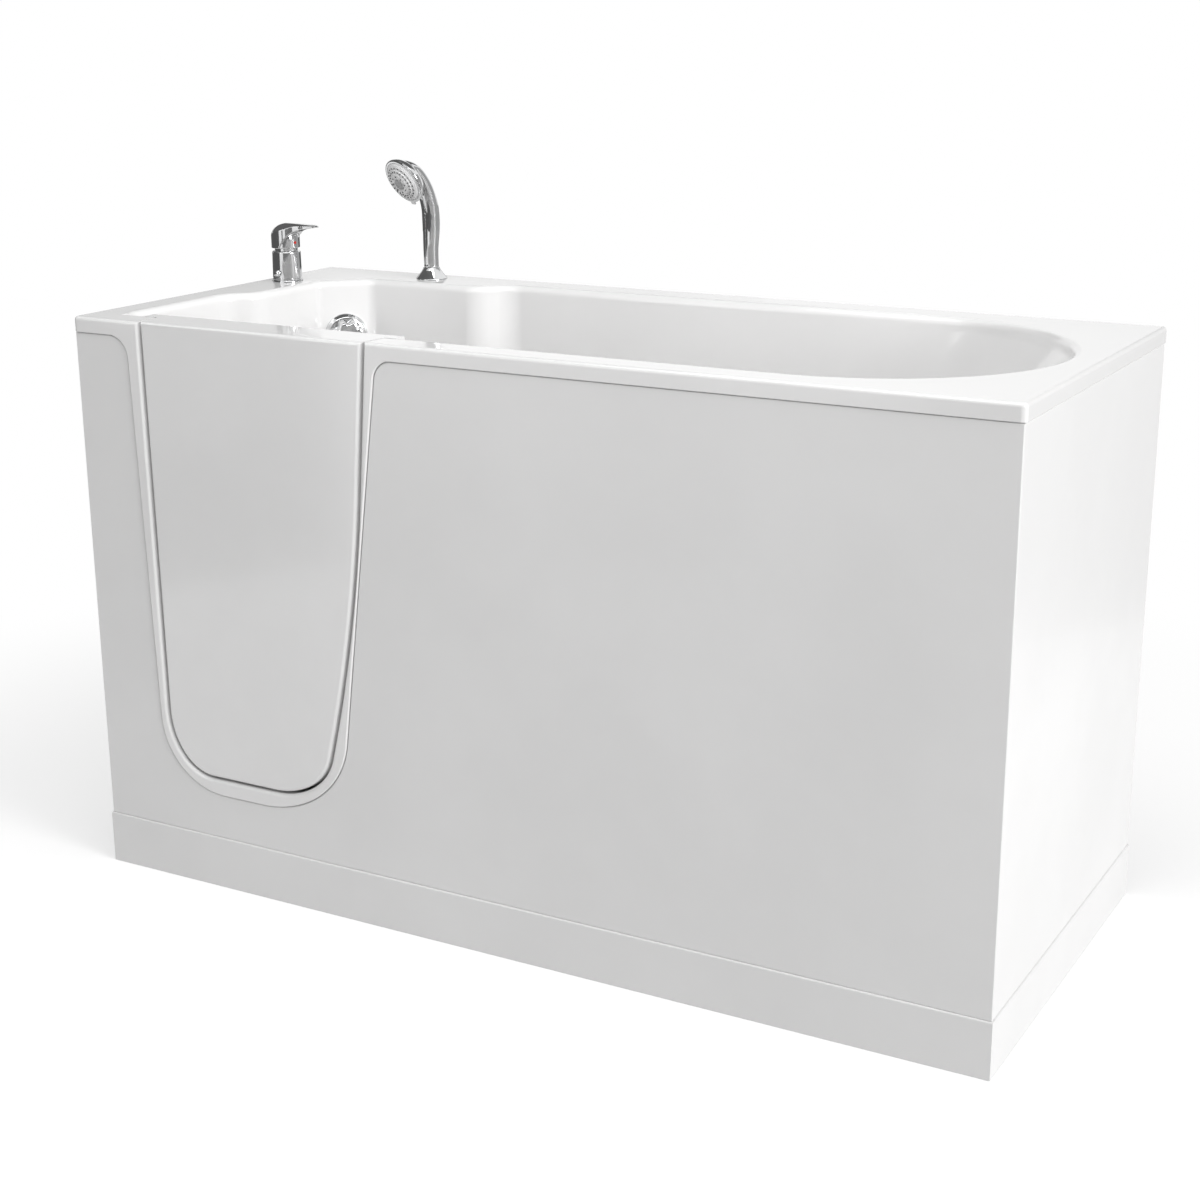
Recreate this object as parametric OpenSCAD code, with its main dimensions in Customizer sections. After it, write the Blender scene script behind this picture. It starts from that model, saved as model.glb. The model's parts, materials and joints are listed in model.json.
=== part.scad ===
// Walk in bathtub with an inward-opening door, a deck mixer, a hand shower and an overflow filler.
// Sizes are in millimetres. Each piece is drawn from the tub's front left corner on the floor, with
// x along the front, y towards the wall and z up, and is then centred on its footprint.

/* [Tub] */
// Length of the tub along the wall
tub_length = 1500; // [1450:10:1600]
// Depth of the tub from its front to the wall
tub_width = 660; // [650:5:720]
// Height of the rim above the floor
rim_height = 900; // [880:5:940]
// Thickness of the moulded shell
shell_wall = 6; // [4:0.5:7]
// Depth of the lip that hangs from the rim
lip_depth = 24; // [18:1:30]
// Radius of the rim's corners seen from above
rim_corner = 8; // [7:1:14]
// Radius of the rim's top outer edge
rim_edge = 6; // [3:1:7]
// Radius of the roll from the rim into the basin
rim_roll = 12; // [8:1:14]

/* [Basin] */
// Width of the rim at the left end
left_rim = 57; // [55:1:60]
// Width of the rim at the right end
right_rim = 52; // [48:1:60]
// Width of the rim along the front
front_rim = 58; // [56:1:60]
// Width of the rim along the back
back_rim = 63; // [58:1:68]
// Width of the left rim where the mixer stands
mixer_deck = 99; // [95:1:104]
// Length of that wider part, from the back
mixer_deck_length = 325; // [310:5:340]
// Width of the back rim where the shower stands
shower_deck = 107; // [102:1:112]
// Right end of that wider part, from the left end
shower_deck_end = 376; // [360:2:390]
// Run of the slanted steps in the rim's inner edge
deck_step = 42; // [38:1:44]
// Cut across the basin's back left corner
corner_cut = 66; // [64:1:72]
// Length of the rounding at the right end
end_round = 290; // [260:5:300]
// Height of the footwell's floor
floor_height = 130; // [120:2:132]
// Height of the seat
seat_height = 550; // [500:5:560]
// Place of the seat's front edge, from the left end
seat_front = 600; // [595:1:615]
// Slope of the backrest, as run over rise
recline = 0.75; // [0.6:0.05:0.8]
// Radius where the seat meets the walls
seat_fillet = 70; // [55:5:75]
// Radius where the footwell's floor meets the walls
floor_fillet = 40; // [30:2:40]
// Radius of the seat's front edge
seat_nose = 20; // [14:1:22]
// Fall of the seat towards the footwell
seat_fall = 3; // [2:0.5:4]

/* [Door] */
// Height of the door's lower edge
sill_height = 187; // [183:1:192]
// Left edge of the door at the rim
door_left = 132; // [130:1:136]
// How far that edge leans in at the bottom
door_lean = 8; // [6:1:10]
// Right edge of the door at the rim
door_right = 537; // [532:1:540]
// Right edge of the door at its waist
door_waist = 505; // [500:1:508]
// Height of the waist above the sill
waist_rise = 293; // [285:1:300]
// Right edge of the door at the foot, before rounding
door_foot = 432; // [428:1:436]
// Gap between the door and the frame round it
door_gap = 4; // [3.5:0.5:5]
// Flare of the door's edge from front to back
door_flare = 5; // [4:0.5:6]
// Reach of the inner flange past the door's outline
flange_reach = 24; // [22:1:26]
// Left edge of the inner flange, beside the hinges
flange_left = 100; // [99:0.5:101]
// Depth of the frame that the door closes against
jamb_depth = 45; // [43:1:46]
// Thickness of the rubber seal
seal_thickness = 3.7; // [3:0.1:3.8]
// Whole thickness of the door
door_thickness = 75; // [73:1:77]
// Thickness of the door's two skins
door_skin = 5; // [3:0.5:6]
// Radius of the door's front edge
door_edge = 4; // [2:0.5:5]
// Radius of the frame's front edge beside the door
frame_edge = 6; // [4:0.5:7]

/* [Hinges and latch] */
// Place of the hinge axis from the left end
hinge_x = 92; // [91:0.5:93]
// Place of the hinge axis from the front
hinge_y = 53; // [52:0.5:54]
// Radius of a hinge knuckle
knuckle_r = 6; // [5:0.25:6.5]
// Radius of a hinge pin
hinge_pin_r = 3; // [2:0.25:3.5]
// Length of one hinge
hinge_length = 80; // [60:5:100]
// Height of the lower hinge's foot
low_hinge = 330; // [320:5:380]
// Height of the upper hinge's foot
high_hinge = 720; // [680:5:760]
// Thickness of a hinge leaf
leaf_thickness = 3; // [2:0.25:3.5]
// Height of the latch
latch_height = 700; // [690:5:720]
// Place of the latch lever's axis from the left end
latch_x = 484; // [480:1:486]
// Length of the latch lever
latch_lever_length = 95; // [70:5:100]
// Travel of the latch bolt
bolt_travel = 24; // [20:1:26]

/* [Panels] */
// Height of the plinth
plinth_height = 85; // [80:1:90]
// Thickness of the plinth board
plinth_thickness = 12; // [10:1:14]
// Thickness of the panels
panel_thickness = 4; // [3:0.5:5]
// Distance of the panels behind the rim's lip
panel_setback = 2; // [1:0.5:3]
// Gap between a panel and the shell
panel_gap = 1.2; // [0.8:0.1:1.5]
// Left edge of the panel's notch at the rim
notch_left = 102; // [100:1:104]
// How far that edge leans in at the bottom
notch_lean = 22; // [20:1:24]
// Height of the notch's lower edge
notch_foot = 157; // [154:1:160]
// Right edge of the notch at the rim
notch_right = 559; // [557:1:562]
// Right edge of the notch at its foot, before rounding
notch_heel = 466; // [464:1:470]

/* [Frame and feet] */
// Side of the frame's square tubes
tube = 30; // [25:1:30]
// Wall of the frame's square tubes
tube_wall = 2; // [1.5:0.5:3]
// Place of the front rail from the front
front_rail_y = 125; // [120:1:130]
// Distance from the tub's back to the front of its back rail
rail_back = 170; // [166:1:174]
// Radius of a foot's stud
stud_r = 6; // [4:0.5:7]
// Radius of a foot's pad
pad_r = 28; // [22:1:30]
// Height of a foot's pad
pad_height = 10; // [8:1:12]

/* [Waste and overflow] */
// Place of the waste from the left end
waste_x = 230; // [220:2:240]
// Distance of the waste from the back edge
waste_back = 230; // [224:1:236]
// Radius of the waste's rim
waste_rim_r = 35; // [33:1:38]
// Radius of the waste's throat outside
throat_r = 25; // [23:0.5:26]
// Radius of the trap
trap_r = 38; // [34:1:40]
// Radius of the outlet pipe
outlet_r = 20; // [16:1:20]
// Lift of the pop-up plug
plug_lift = 10; // [6:1:10]
// Height of the overflow's centre
overflow_height = 806; // [800:1:815]
// Radius of the overflow's rosette
rosette_r = 37; // [35:1:38]
// Radius of the overflow's knob
knob_r = 30; // [26:1:31]
// Radius of the overflow pipe
overflow_pipe_r = 16; // [14:1:17]

/* [Mixer and shower] */
// Place of the mixer from the left end
mixer_x = 50; // [49:0.5:51]
// Place of the mixer from the back
mixer_back = 190; // [186:1:194]
// Radius of the mixer's body
mixer_r = 24.5; // [23:0.5:25]
// Height of the mixer's body above the rim
mixer_body_height = 52; // [50:1:55]
// Whole height of the mixer above the rim
mixer_height = 98; // [94:1:102]
// Reach of the lever's tip from the mixer's axis
lever_reach = 68; // [60:1:72]
// Radius of the copper tails
tail_r = 5; // [4:0.5:5]
// Length of the copper tails below the rim
tail_length = 300; // [250:10:320]
// Place of the hand shower from the left end
shower_x = 255; // [245:1:265]
// Place of the hand shower from the back
shower_back = 55; // [52:1:60]
// Radius of the shower holder's foot
holder_r = 26.5; // [24:0.5:28]
// Height of the shower holder
holder_height = 20; // [16:1:24]
// Radius of the handset's lower end
handset_end_r = 12; // [10:0.5:12]
// Radius of the handset's head
head_r = 40.5; // [36:0.5:44]
// Turn of the handset from the front towards the left end
handset_turn = 18; // [0:1:20]

/* [Hidden] */
$fn = 48;
steps = 6;                                  // points along each rounded corner
eps = 0.01;

deck_under = rim_height - shell_wall;
waste_y = tub_width - waste_back;
back_rail_y = tub_width - rail_back;
floor_under = floor_height - shell_wall;
seat_low = seat_height - seat_fall;
seat_under = seat_low - shell_wall;
nose_top = seat_low - 2;
basin_back = tub_width - back_rim;
shower_edge = tub_width - shower_deck;
basin_end = tub_length - right_rim;
roll_foot = rim_height - rim_roll;
seat_lean = 15;                             // how far the seat's front wall leans back at the floor
seat_shoulder = 30;                         // width of the blend from footwell to seat along the walls

door_waist_z = sill_height + waist_rise;
door_bulge = 200;                           // length of the bend at the waist, each way
recess_gap = 5;
block_wall = 12;
block_depth = 90;
block_front = panel_setback + panel_thickness + 0.4;
seal_front = jamb_depth + 0.3;
flange_front = seal_front + seal_thickness;
inner_round = 4;
core_width = 36;

panel_back = panel_setback + panel_thickness;
panel_top = rim_height - lip_depth - 1;
tongue_thickness = 3;
tongue_rise = 12;
frame_inset = panel_back;
rail_z = floor_under - tube;
prop_x = [seat_front + 40, seat_front + 470];
tie_x = [seat_front + 10, seat_front + 455];
rail_start = frame_inset + tube;
rail_end = tub_length - frame_inset - tube;
stud_x = [rail_start + 54, tub_length / 2 + 10, rail_end - 54];
stud_y = [front_rail_y + tube / 2, back_rail_y + tube / 2];
stud_clearance = 0.5;
thread_clearance = 0.05;
bracket_thickness = 4;
clip_width = 8;
clip_height = 24;

leaf_gap = 0.5;
knuckle = hinge_length / 4;
hinge_pin_clearance = 0.05;
leaf_height = [low_hinge, high_hinge];
leaf_reach = 44;
leaf_side = flange_left - leaf_thickness;
screw_r = 2.5;
screw_head_r = 4.5;
screw_head = 2;

bolt_width = 16;
bolt_depth = 10;
bolt_length = 46;
bolt_gap = 0.3;
bolt_front = door_thickness + 5;
housing_back = bolt_front + bolt_depth + bolt_gap + 6;
housing_width = 56;
housing_left = latch_x - 29;
housing_right = latch_x + 57;
bolt_tip = latch_x + 59;
keeper_left = bolt_tip + 13;
keeper_width = 26;
keeper_height = 50;
keeper_foot = 90;
spindle_r = 6;
lever_front = housing_back + 0.5;
lever_thickness = 9;

diagonal_x = mixer_deck + corner_cut / 2;
diagonal_y = shower_edge - corner_cut / 2;
overflow_turn = 135;
overflow_neck_r = 29.5;
corner_ease = corner_cut / sqrt(2) - rosette_r - 0.5;   // leaves the corner flat behind the rosette
overflow_hole_r = 31;
knob_stem_r = 5;
body_start = shell_wall + 2;
body_length = 50;
body_middle = body_start + body_length / 2;
overflow_body_r = 35;
drop_x = diagonal_x - body_middle * sqrt(0.5);
drop_y = diagonal_y + body_middle * sqrt(0.5);
pipe_wall = 2;
pipe_z = 74;                                // height of the overflow pipe's run under the floor
pipe_bend = 40;
pipe_turn = atan2(waste_y - drop_y, waste_x - drop_x);
pipe_run = norm([waste_x - drop_x, waste_y - drop_y]);
cable_r = 2.5;
cable_side = overflow_pipe_r + cable_r + 0.5;
cable_socket = 12;                          // depth of the cable's sockets, from the round wall's crown
cable_stop = trap_r - 9;
outlet_z = 46;
outlet_start = back_rail_y + tube + 2;
outlet_end = tub_width - 5;
trap_foot = 22;
trap_top = 106;
trap_wall = 5;
plug_stem_r = 4;
guide_r = plug_stem_r + 0.06;
guide_z = 112;

mixer_y = tub_width - mixer_back;
mixer_cup_r = 17.5;
shank_r = 15;
shank_bore_r = 13.6;
shank_length = 54;
base_ring_height = 3;
groove = 5;
cap_r = 18.5;
lever_foot = rim_height + mixer_body_height + groove;
lever_r = 24;
lever_wall = 2.5;
lever_crown = 13;
stem_clearance = 0.3;
lever_pivot_x = mixer_x - 14;
lever_pivot_z = lever_foot + 3;
dot_r = 2.5;
dot_turn = -12;
tail_free = 40;                             // free length of a tail below its collar
stem_r = 4;
diverter_r = 2.5;
diverter_rise = 16;
filler_r = 6;
filler_bend = 20;
filler_y = mixer_y + shank_bore_r - filler_r - 0.6;
filler_turn = atan2(drop_y - filler_y, drop_x - mixer_x);
filler_run = norm([drop_x - mixer_x, drop_y - filler_y]);

shower_y = tub_width - shower_back;
holder_top_r = 13.8;
holder_gap = 0.3;
sleeve_r = 14.5;
sleeve_length = 50;
head_out = 65;                              // crown of the face in front of the handle's foot
head_up = 162;                              // crown of the face above the rim
head_tilt = 29;                             // how far the face looks down
head_front = -13;                           // body's flat front, from the crown of the face
plate_r = head_r - 5;
face_radius = 60;                           // radius of the face's curve
nozzle_rows = [[plate_r - 21, 8], [plate_r - 13, 22], [plate_r - 7.1, 22]];

// ---- outlines -------------------------------------------------------------------------------

// A corner is [x, y, cut before it, cut after it]. An outline's corners run anticlockwise.
function unit(v) = v / norm(v);
function flat(c) = [c[0], c[1]];
function at(list, i) = list[(i + len(list)) % len(list)];

// A rounded corner: a true arc where both cuts are equal, or a quarter ellipse in a square corner
function corner_arc(before, corner, after) =
    corner[2] == 0 ? [flat(corner)] :
    let (
        c = flat(corner),
        to_before = unit(flat(before) - c),
        to_after = unit(flat(after) - c),
        a = c + to_before * corner[2],
        b = c + to_after * corner[3],
        weight = sin(acos(max(-1, to_before * to_after)) / 2)
    )
    [for (i = [0 : steps])
        let (t = i / steps, u = 1 - t, sum = u * u + 2 * weight * t * u + t * t)
        (u * u * a + 2 * weight * t * u * c + t * t * b) / sum];

function outline(corners) =
    [for (i = [0 : len(corners) - 1]) each corner_arc(at(corners, i - 1), corners[i], at(corners, i + 1))];

// The corners of an outline that lies a distance outside another, or inside it when negative
function grown(corners, distance) = [
    for (i = [0 : len(corners) - 1])
        let (
            c = corners[i],
            into = unit(flat(c) - flat(at(corners, i - 1))),
            out = unit(flat(at(corners, i + 1)) - flat(c)),
            share = distance / (1 + into * out),
            turn = share * cross(into, out)
        )
        [
            c[0] + share * (into[1] + out[1]),
            c[1] - share * (into[0] + out[0]),
            c[2] == 0 ? 0 : max(2, c[2] + turn),
            c[3] == 0 ? 0 : max(2, c[3] + turn),
        ]
];

// The same, with nothing above the rim
function grown_to_rim(corners, distance) =
    [for (c = grown(corners, distance)) [c[0], min(c[1], rim_height), c[2], c[3]]];

function middle(ring) = [
    for (k = [0 : 2]) (min([for (p = ring) p[k]]) + max([for (p = ring) p[k]])) / 2
];

// A skin over rings of equally many points. Each ring turns anticlockwise, seen from the last one.
module loft(rings) {
    n = len(rings[0]);
    last = len(rings) - 1;
    low = n * len(rings);
    points = concat([for (ring = rings) each ring], [middle(rings[0]), middle(rings[last])]);
    faces = [
        for (i = [0 : last - 1], j = [0 : n - 1])
            let (a = i * n + j, b = i * n + (j + 1) % n)
            each [[a, a + n, b + n], [a, b + n, b]],
        for (j = [0 : n - 1]) [low, j, (j + 1) % n],
        for (j = [0 : n - 1]) [low + 1, last * n + (j + 1) % n, last * n + j],
    ];
    polyhedron(points, faces);
}

// An outline drawn on the tub's front, at a depth behind it
function front_ring(corners, y) = [for (p = outline(corners)) [p[0], y, p[1]]];

// A convex outline on the front, carried from one depth to another with its own size at each
module front_slab(near, near_y, far, far_y)
    hull() loft([front_ring(far, far_y), front_ring(near, near_y)]);

module placed() translate([-tub_length / 2, -tub_width / 2, 0]) children();

module ring(outer, inner, height) difference() {
    cylinder(r = outer, h = height);
    translate([0, 0, -1]) cylinder(r = inner, h = height + 2);
}

module hex_nut(across_flats, bore_r, height) difference() {
    cylinder(r = across_flats / sqrt(3), h = height, $fn = 6);
    translate([0, 0, -1]) cylinder(r = bore_r, h = height + 2);
}

// A rod that goes down, bends and runs on along x at its foot
module bent_rod(r, drop, bend, run, extra = 0) {
    translate([0, 0, bend - drop]) cylinder(r = r, h = drop - bend + extra);
    translate([bend, 0, bend - drop]) rotate([90, 0, 0]) rotate([0, 0, 180])
        rotate_extrude(angle = 90) translate([bend, 0]) circle(r = r);
    translate([bend, 0, -drop]) rotate([0, 90, 0]) cylinder(r = r, h = run - bend + extra);
}

module screw(length) {
    cylinder(r = screw_head_r, h = screw_head);
    translate([0, 0, -length]) cylinder(r = screw_r, h = length);
}

// ---- tub shell ------------------------------------------------------------------------------

// The basin's corners at one level
function basin_corners(end, seat_in, split, end_cut) =
    let (
        front = front_rim,
        half = (basin_back - front) / 2 - seat_in - 1,
        end_cut_y = min(end_cut, half),
        soft = 22
    ) [
        [left_rim, front, soft, soft],
        [split, front, 0, 0],
        [split + seat_shoulder, front + seat_in, 0, 0],
        [end, front + seat_in, end_cut, end_cut_y],
        [end, basin_back - seat_in, end_cut_y, end_cut],
        [split + seat_shoulder, basin_back - seat_in, 0, 0],
        [split, basin_back, 0, 0],
        [shower_deck_end + deck_step, basin_back, soft, soft],
        [shower_deck_end, shower_edge, soft, soft],
        [mixer_deck + corner_cut, shower_edge, corner_ease, corner_ease],
        [mixer_deck, shower_edge - corner_cut, corner_ease, corner_ease],
        [mixer_deck, tub_width - mixer_deck_length, soft, soft],
        [left_rim, tub_width - mixer_deck_length - deck_step, soft, soft],
    ];

function level(corners, z) = [for (p = outline(corners)) [p[0], p[1], z]];
function backrest(z) = basin_end - recline * (roll_foot - z);
function seat_wall(z) = seat_front - seat_lean * (seat_low - z) / (seat_low - floor_height);

// The footwell's rings from its floor to the seat's front edge, a wall's thickness outside the water
function foot_rings(wall) =
    let (foot_round = 30, foot_split = 75, top = seat_front + seat_nose) concat(
        [for (a = [90 : -30 : 0])
            let (z = floor_height + floor_fillet * (1 - sin(a)), end = seat_wall(z))
            level(grown(basin_corners(end, 0, end - foot_split, foot_round),
                        wall - floor_fillet * (1 - cos(a))), z - wall)],
        [for (a = [90 : -30 : 0])
            let (z = nose_top - seat_nose * (1 - cos(a)), end = seat_front + seat_nose * (1 - sin(a)))
            level(grown(basin_corners(end, 0, end - foot_split, foot_round), wall), z - wall)],
        [level(grown(basin_corners(top, 0, top - foot_split, foot_round), wall), nose_top + 8)]
    );

// The rings from the seat up to the rim. The water side of the seat falls towards the footwell.
function seat_rings(wall) =
    let (
        seat = wall > 0 ? seat_low : seat_height,
        split = seat_front + seat_nose - 5,
        seat_end = backrest(seat) - seat_fillet,
        tilt = wall > 0 ? 0 : seat_fall / (seat_end - seat_front),
        full = basin_corners(basin_end, 0, split, end_round)
    ) concat(
        [for (a = [90 : -30 : 0])
            let (z = seat + seat_fillet * (1 - sin(a)), inset = seat_fillet * (1 - cos(a)))
            [for (p = level(grown(basin_corners(backrest(z) - inset, inset, split, end_round), wall), z - wall))
                [p[0], p[1], p[2] - tilt * sin(a) * (seat_end - p[0])]]],
        wall > 0
            ? [for (z = [roll_foot, rim_height - 1]) level(grown(full, wall), z)]
            : [for (a = [0 : 30 : 90]) level(grown(full, rim_roll * (1 - cos(a))), roll_foot + rim_roll * sin(a))],
        wall > 0 ? [] : [level(grown(full, rim_roll + 1), rim_height + 1)]
    );

module basin(wall) {
    loft(foot_rings(wall));
    loft(seat_rings(wall));
}

// The door's outline on the front: left foot, right foot, waist, and the two corners at the rim
door_corners = [
    [door_left + door_lean, sill_height, 100, 80],
    [door_foot, sill_height, 92, 75],
    [door_waist, door_waist_z, door_bulge, door_bulge],
    [door_right, rim_height, 0, 0],
    [door_left, rim_height, 0, 0],
];

function is_left(i) = i == 0 || i == 4;
function with_left(corners, x) =
    [for (i = [0 : len(corners) - 1]) let (c = corners[i]) [is_left(i) ? x : c[0], c[1], c[2], c[3]]];

flange_corners = with_left(grown_to_rim(door_corners, flange_reach), flange_left);
recess_corners = with_left(grown(flange_corners, recess_gap), left_rim);
block_corners = grown_to_rim(recess_corners, block_wall);

// The front panel's outline, with its notch open at the top
panel_corners = [
    [panel_setback, plinth_height, 0, 0],
    [tub_length - panel_setback, plinth_height, 0, 0],
    [tub_length - panel_setback, panel_top, 0, 0],
    [notch_right, panel_top, 26, 26],
    [notch_heel, notch_foot, 130, 150],
    [notch_left + notch_lean, notch_foot, 117, 115],
    [notch_left, panel_top, 33, 33],
    [panel_setback, panel_top, 0, 0],
];

rim_corners = [
    [0, 0, rim_corner, rim_corner],
    [tub_length, 0, rim_corner, rim_corner],
    [tub_length, tub_width, rim_corner, rim_corner],
    [0, tub_width, rim_corner, rim_corner],
];

module rim_plate() difference() {
    loft(concat(
        [level(rim_corners, rim_height - lip_depth)],
        [for (a = [0 : 22.5 : 90])
            level(grown(rim_corners, -rim_edge * (1 - cos(a))), rim_height - rim_edge * (1 - sin(a)))]
    ));
    translate([shell_wall, block_front, rim_height - lip_depth - 1])
        cube([tub_length - 2 * shell_wall, tub_width - block_front - shell_wall, lip_depth + 1 - shell_wall]);
}

// The flange that shows round the door, inside the panel's notch
module notch_band() translate([0, block_front + 3, 0]) rotate([90, 0, 0]) linear_extrude(block_front + 3)
    difference() {
        translate([notch_left - 20, notch_foot - 4])
            square([notch_right - notch_left + 35, rim_height - lip_depth / 2 - notch_foot + 4]);
        polygon(outline(grown(panel_corners, panel_gap)));
    }

gap_corners = grown(door_corners, door_gap);

module doorway() {
    // The outline's size and depth, from in front of the tub to behind the jamb
    section = concat(
        [[frame_edge, -1]],
        [for (a = [90 : -30 : 0]) [frame_edge * (1 - cos(a)), frame_edge * (1 - sin(a))]],
        [[door_flare, jamb_depth + 1]]
    );
    for (i = [1 : len(section) - 1])
        front_slab(grown(gap_corners, section[i - 1][0]), section[i - 1][1],
                   grown(gap_corners, section[i][0]), section[i][1]);
    front_slab(recess_corners, jamb_depth, recess_corners, block_depth + 1);
}

module at_overflow() translate([diagonal_x, diagonal_y, overflow_height])
    rotate([0, 0, overflow_turn]) rotate([0, 90, 0]) children();

module tub_shell() color("white") placed() difference() {
    union() {
        rim_plate();
        basin(shell_wall);
        notch_band();
        front_slab(block_corners, block_front, block_corners, block_depth);
    }
    basin(0);
    doorway();
    translate([mixer_x, mixer_y, rim_height - 50]) cylinder(r = shank_r + 1, h = 60);
    translate([shower_x, shower_y, rim_height - 50]) cylinder(r = sleeve_r + 0.5, h = 60);
    translate([waste_x, waste_y, floor_height - 30]) cylinder(r = throat_r + 1, h = 60);
    at_overflow() translate([0, 0, -30]) cylinder(r = overflow_hole_r, h = 60);
}

// ---- panels and plinth ----------------------------------------------------------------------

module front_panel() color("white") placed() {
    translate([0, panel_back, 0]) rotate([90, 0, 0]) linear_extrude(panel_thickness)
        polygon(outline(panel_corners));
    // A tongue stands behind the rim's lip and holds the panel's top edge
    tongue_start = notch_right + 40;
    translate([tongue_start, panel_back - eps, panel_top - 35])
        cube([tub_length - 60 - tongue_start, block_front - panel_back + 2 * eps, 34]);
    translate([tongue_start, block_front, panel_top - 35])
        cube([tub_length - 60 - tongue_start, tongue_thickness, 35 + tongue_rise]);
}

module end_panel() color("white") placed()
    translate([tub_length - panel_back, panel_back, plinth_height])
        cube([panel_thickness, tub_width - panel_back - 2, panel_top - plinth_height]);

// A plinth board's section: a plain board with its top front edge rounded
module board_section() {
    r = 3;
    polygon(concat(
        [[0, 0]],
        [for (a = [0 : 22.5 : 90]) [r * (1 - cos(a)), plinth_height - r * (1 - sin(a))]],
        [[plinth_thickness, plinth_height], [plinth_thickness, 0]]
    ));
}

module front_plinth() color("white") placed()
    rotate([90, 0, 90]) linear_extrude(tub_length) board_section();

module end_plinth() color("white") placed()
    translate([tub_length, tub_width, 0]) rotate([90, 0, 0])
        linear_extrude(tub_width - plinth_thickness) mirror([1, 0]) board_section();

// ---- frame and feet -------------------------------------------------------------------------

module tube_x(length) difference() {
    cube([length, tube, tube]);
    translate([-1, tube_wall, tube_wall]) cube([length + 2, tube - 2 * tube_wall, tube - 2 * tube_wall]);
}

module tube_y(length) translate([tube, 0, 0]) rotate([0, 0, 90]) tube_x(length);
module tube_z(length) translate([0, 0, length]) rotate([0, 90, 0]) tube_x(length);

module long_rail(y) color("gray") placed() difference() {
    translate([rail_start, y, rail_z]) tube_x(rail_end - rail_start);
    for (x = stud_x) translate([x, y + tube / 2, rail_z - 1])
        cylinder(r = stud_r + stud_clearance, h = tube_wall + 2);
}

module front_rail() long_rail(front_rail_y);
module back_rail() long_rail(back_rail_y);

module cross_rails() color("gray") placed() {
    for (x = [frame_inset, rail_end]) translate([x, frame_inset, rail_z])
        tube_y(tub_width - 2 * frame_inset);
    for (x = tie_x) translate([x, front_rail_y + tube, rail_z])
        tube_y(back_rail_y - front_rail_y - tube);
}

module corner_posts() color("gray") placed()
    for (x = [frame_inset, rail_end], y = [block_front, tub_width - frame_inset - tube])
        translate([x, y, floor_under]) tube_z(deck_under - floor_under);

module seat_props() color("gray") placed()
    for (x = prop_x, y = [front_rail_y, back_rail_y])
        translate([x, y, floor_under]) tube_z(seat_under - tube - floor_under);

module seat_bearers() color("gray") placed()
    for (x = prop_x) translate([x, front_rail_y, seat_under - tube])
        tube_y(back_rail_y + tube - front_rail_y);

module at_feet() for (x = stud_x, y = stud_y) translate([x, y, 0]) children();

module foot_studs() color("silver") placed() at_feet()
    translate([0, 0, 4]) cylinder(r = stud_r, h = floor_under - tube_wall - 10);

module foot_pads() color("black") placed() at_feet() difference() {
    union() {
        cylinder(r1 = pad_r, r2 = pad_r - 4, h = pad_height);
        cylinder(r = stud_r + 5, h = pad_height + 8);
    }
    translate([0, 0, 4]) cylinder(r = stud_r + thread_clearance, h = pad_height + 10);
}

module foot_locknuts() color("silver") placed() at_feet()
    translate([0, 0, rail_z - 10]) hex_nut(3 * stud_r, stud_r + thread_clearance, 10);

// Brackets on the studs that hold the plinth boards
module plinth_brackets() color("silver") placed() {
    reach = stud_y[0] - plinth_thickness;
    for (x = stud_x) translate([x, stud_y[0], plinth_height - 35]) difference() {
        union() {
            cylinder(r = stud_r + 6, h = bracket_thickness);
            translate([-10, -reach, 0]) cube([20, reach, bracket_thickness]);
            translate([-15, -reach, -20]) cube([30, bracket_thickness, 40]);
        }
        translate([0, 0, -1]) cylinder(r = stud_r + thread_clearance, h = bracket_thickness + 2);
    }
}

// Clips on the corner posts that hold the panels' edges
module panel_clips() color("silver") placed()
    for (z = [rim_height * 0.35, rim_height * 0.75]) {
        translate([rail_start, panel_back, z]) cube([clip_width, bracket_thickness, clip_height]);
        translate([rail_end - clip_width, panel_back, z]) cube([clip_width, bracket_thickness, clip_height]);
        translate([tub_length - panel_back - bracket_thickness, block_front + tube, z])
            cube([bracket_thickness, clip_width, clip_height]);
        translate([tub_length - panel_back - bracket_thickness, tub_width - panel_back - tube - clip_width, z])
            cube([bracket_thickness, clip_width, clip_height]);
    }

// ---- door -----------------------------------------------------------------------------------

module door_outer_shell() color("white") placed() difference() {
    loft(concat(
        [front_ring(grown_to_rim(door_corners, door_flare), flange_front)],
        [for (a = [0 : 30 : 90])
            front_ring(grown(door_corners, door_edge * (cos(a) - 1)), door_edge * (1 - sin(a)))]
    ));
    front_slab(grown(door_corners, -door_skin), door_skin, grown(door_corners, -door_skin), flange_front + 1);
}

module door_inner_shell() color("white") placed() difference() {
    union() {
        front_slab(flange_corners, flange_front, flange_corners, door_thickness - inner_round);
        front_slab(flange_corners, door_thickness - inner_round,
                   grown(flange_corners, -inner_round), door_thickness);
    }
    front_slab(grown(door_corners, -door_skin), flange_front - 1,
               grown(door_corners, -door_skin), flange_front + door_skin + 1);
    front_slab(grown(flange_corners, -door_skin), flange_front + door_skin,
               grown(flange_corners, -door_skin), door_thickness - door_skin);
}

// A timber frame between the skins, which the hinges and the latch are screwed to
module door_core() color("burlywood") placed() difference() {
    front_slab(grown(door_corners, -door_skin - 0.3), door_skin + 0.3,
               grown(door_corners, -door_skin - 0.3), door_thickness - door_skin - 0.3);
    front_slab(grown(door_corners, -door_skin - core_width), door_skin - 1,
               grown(door_corners, -door_skin - core_width), door_thickness);
}

module door_seal() color("dimgray") placed() difference() {
    front_slab(grown_to_rim(flange_corners, -4), seal_front, grown_to_rim(flange_corners, -4), flange_front);
    front_slab(grown(door_corners, door_flare + 1), seal_front - 1,
               grown(door_corners, door_flare + 1), flange_front + 1);
}

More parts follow.
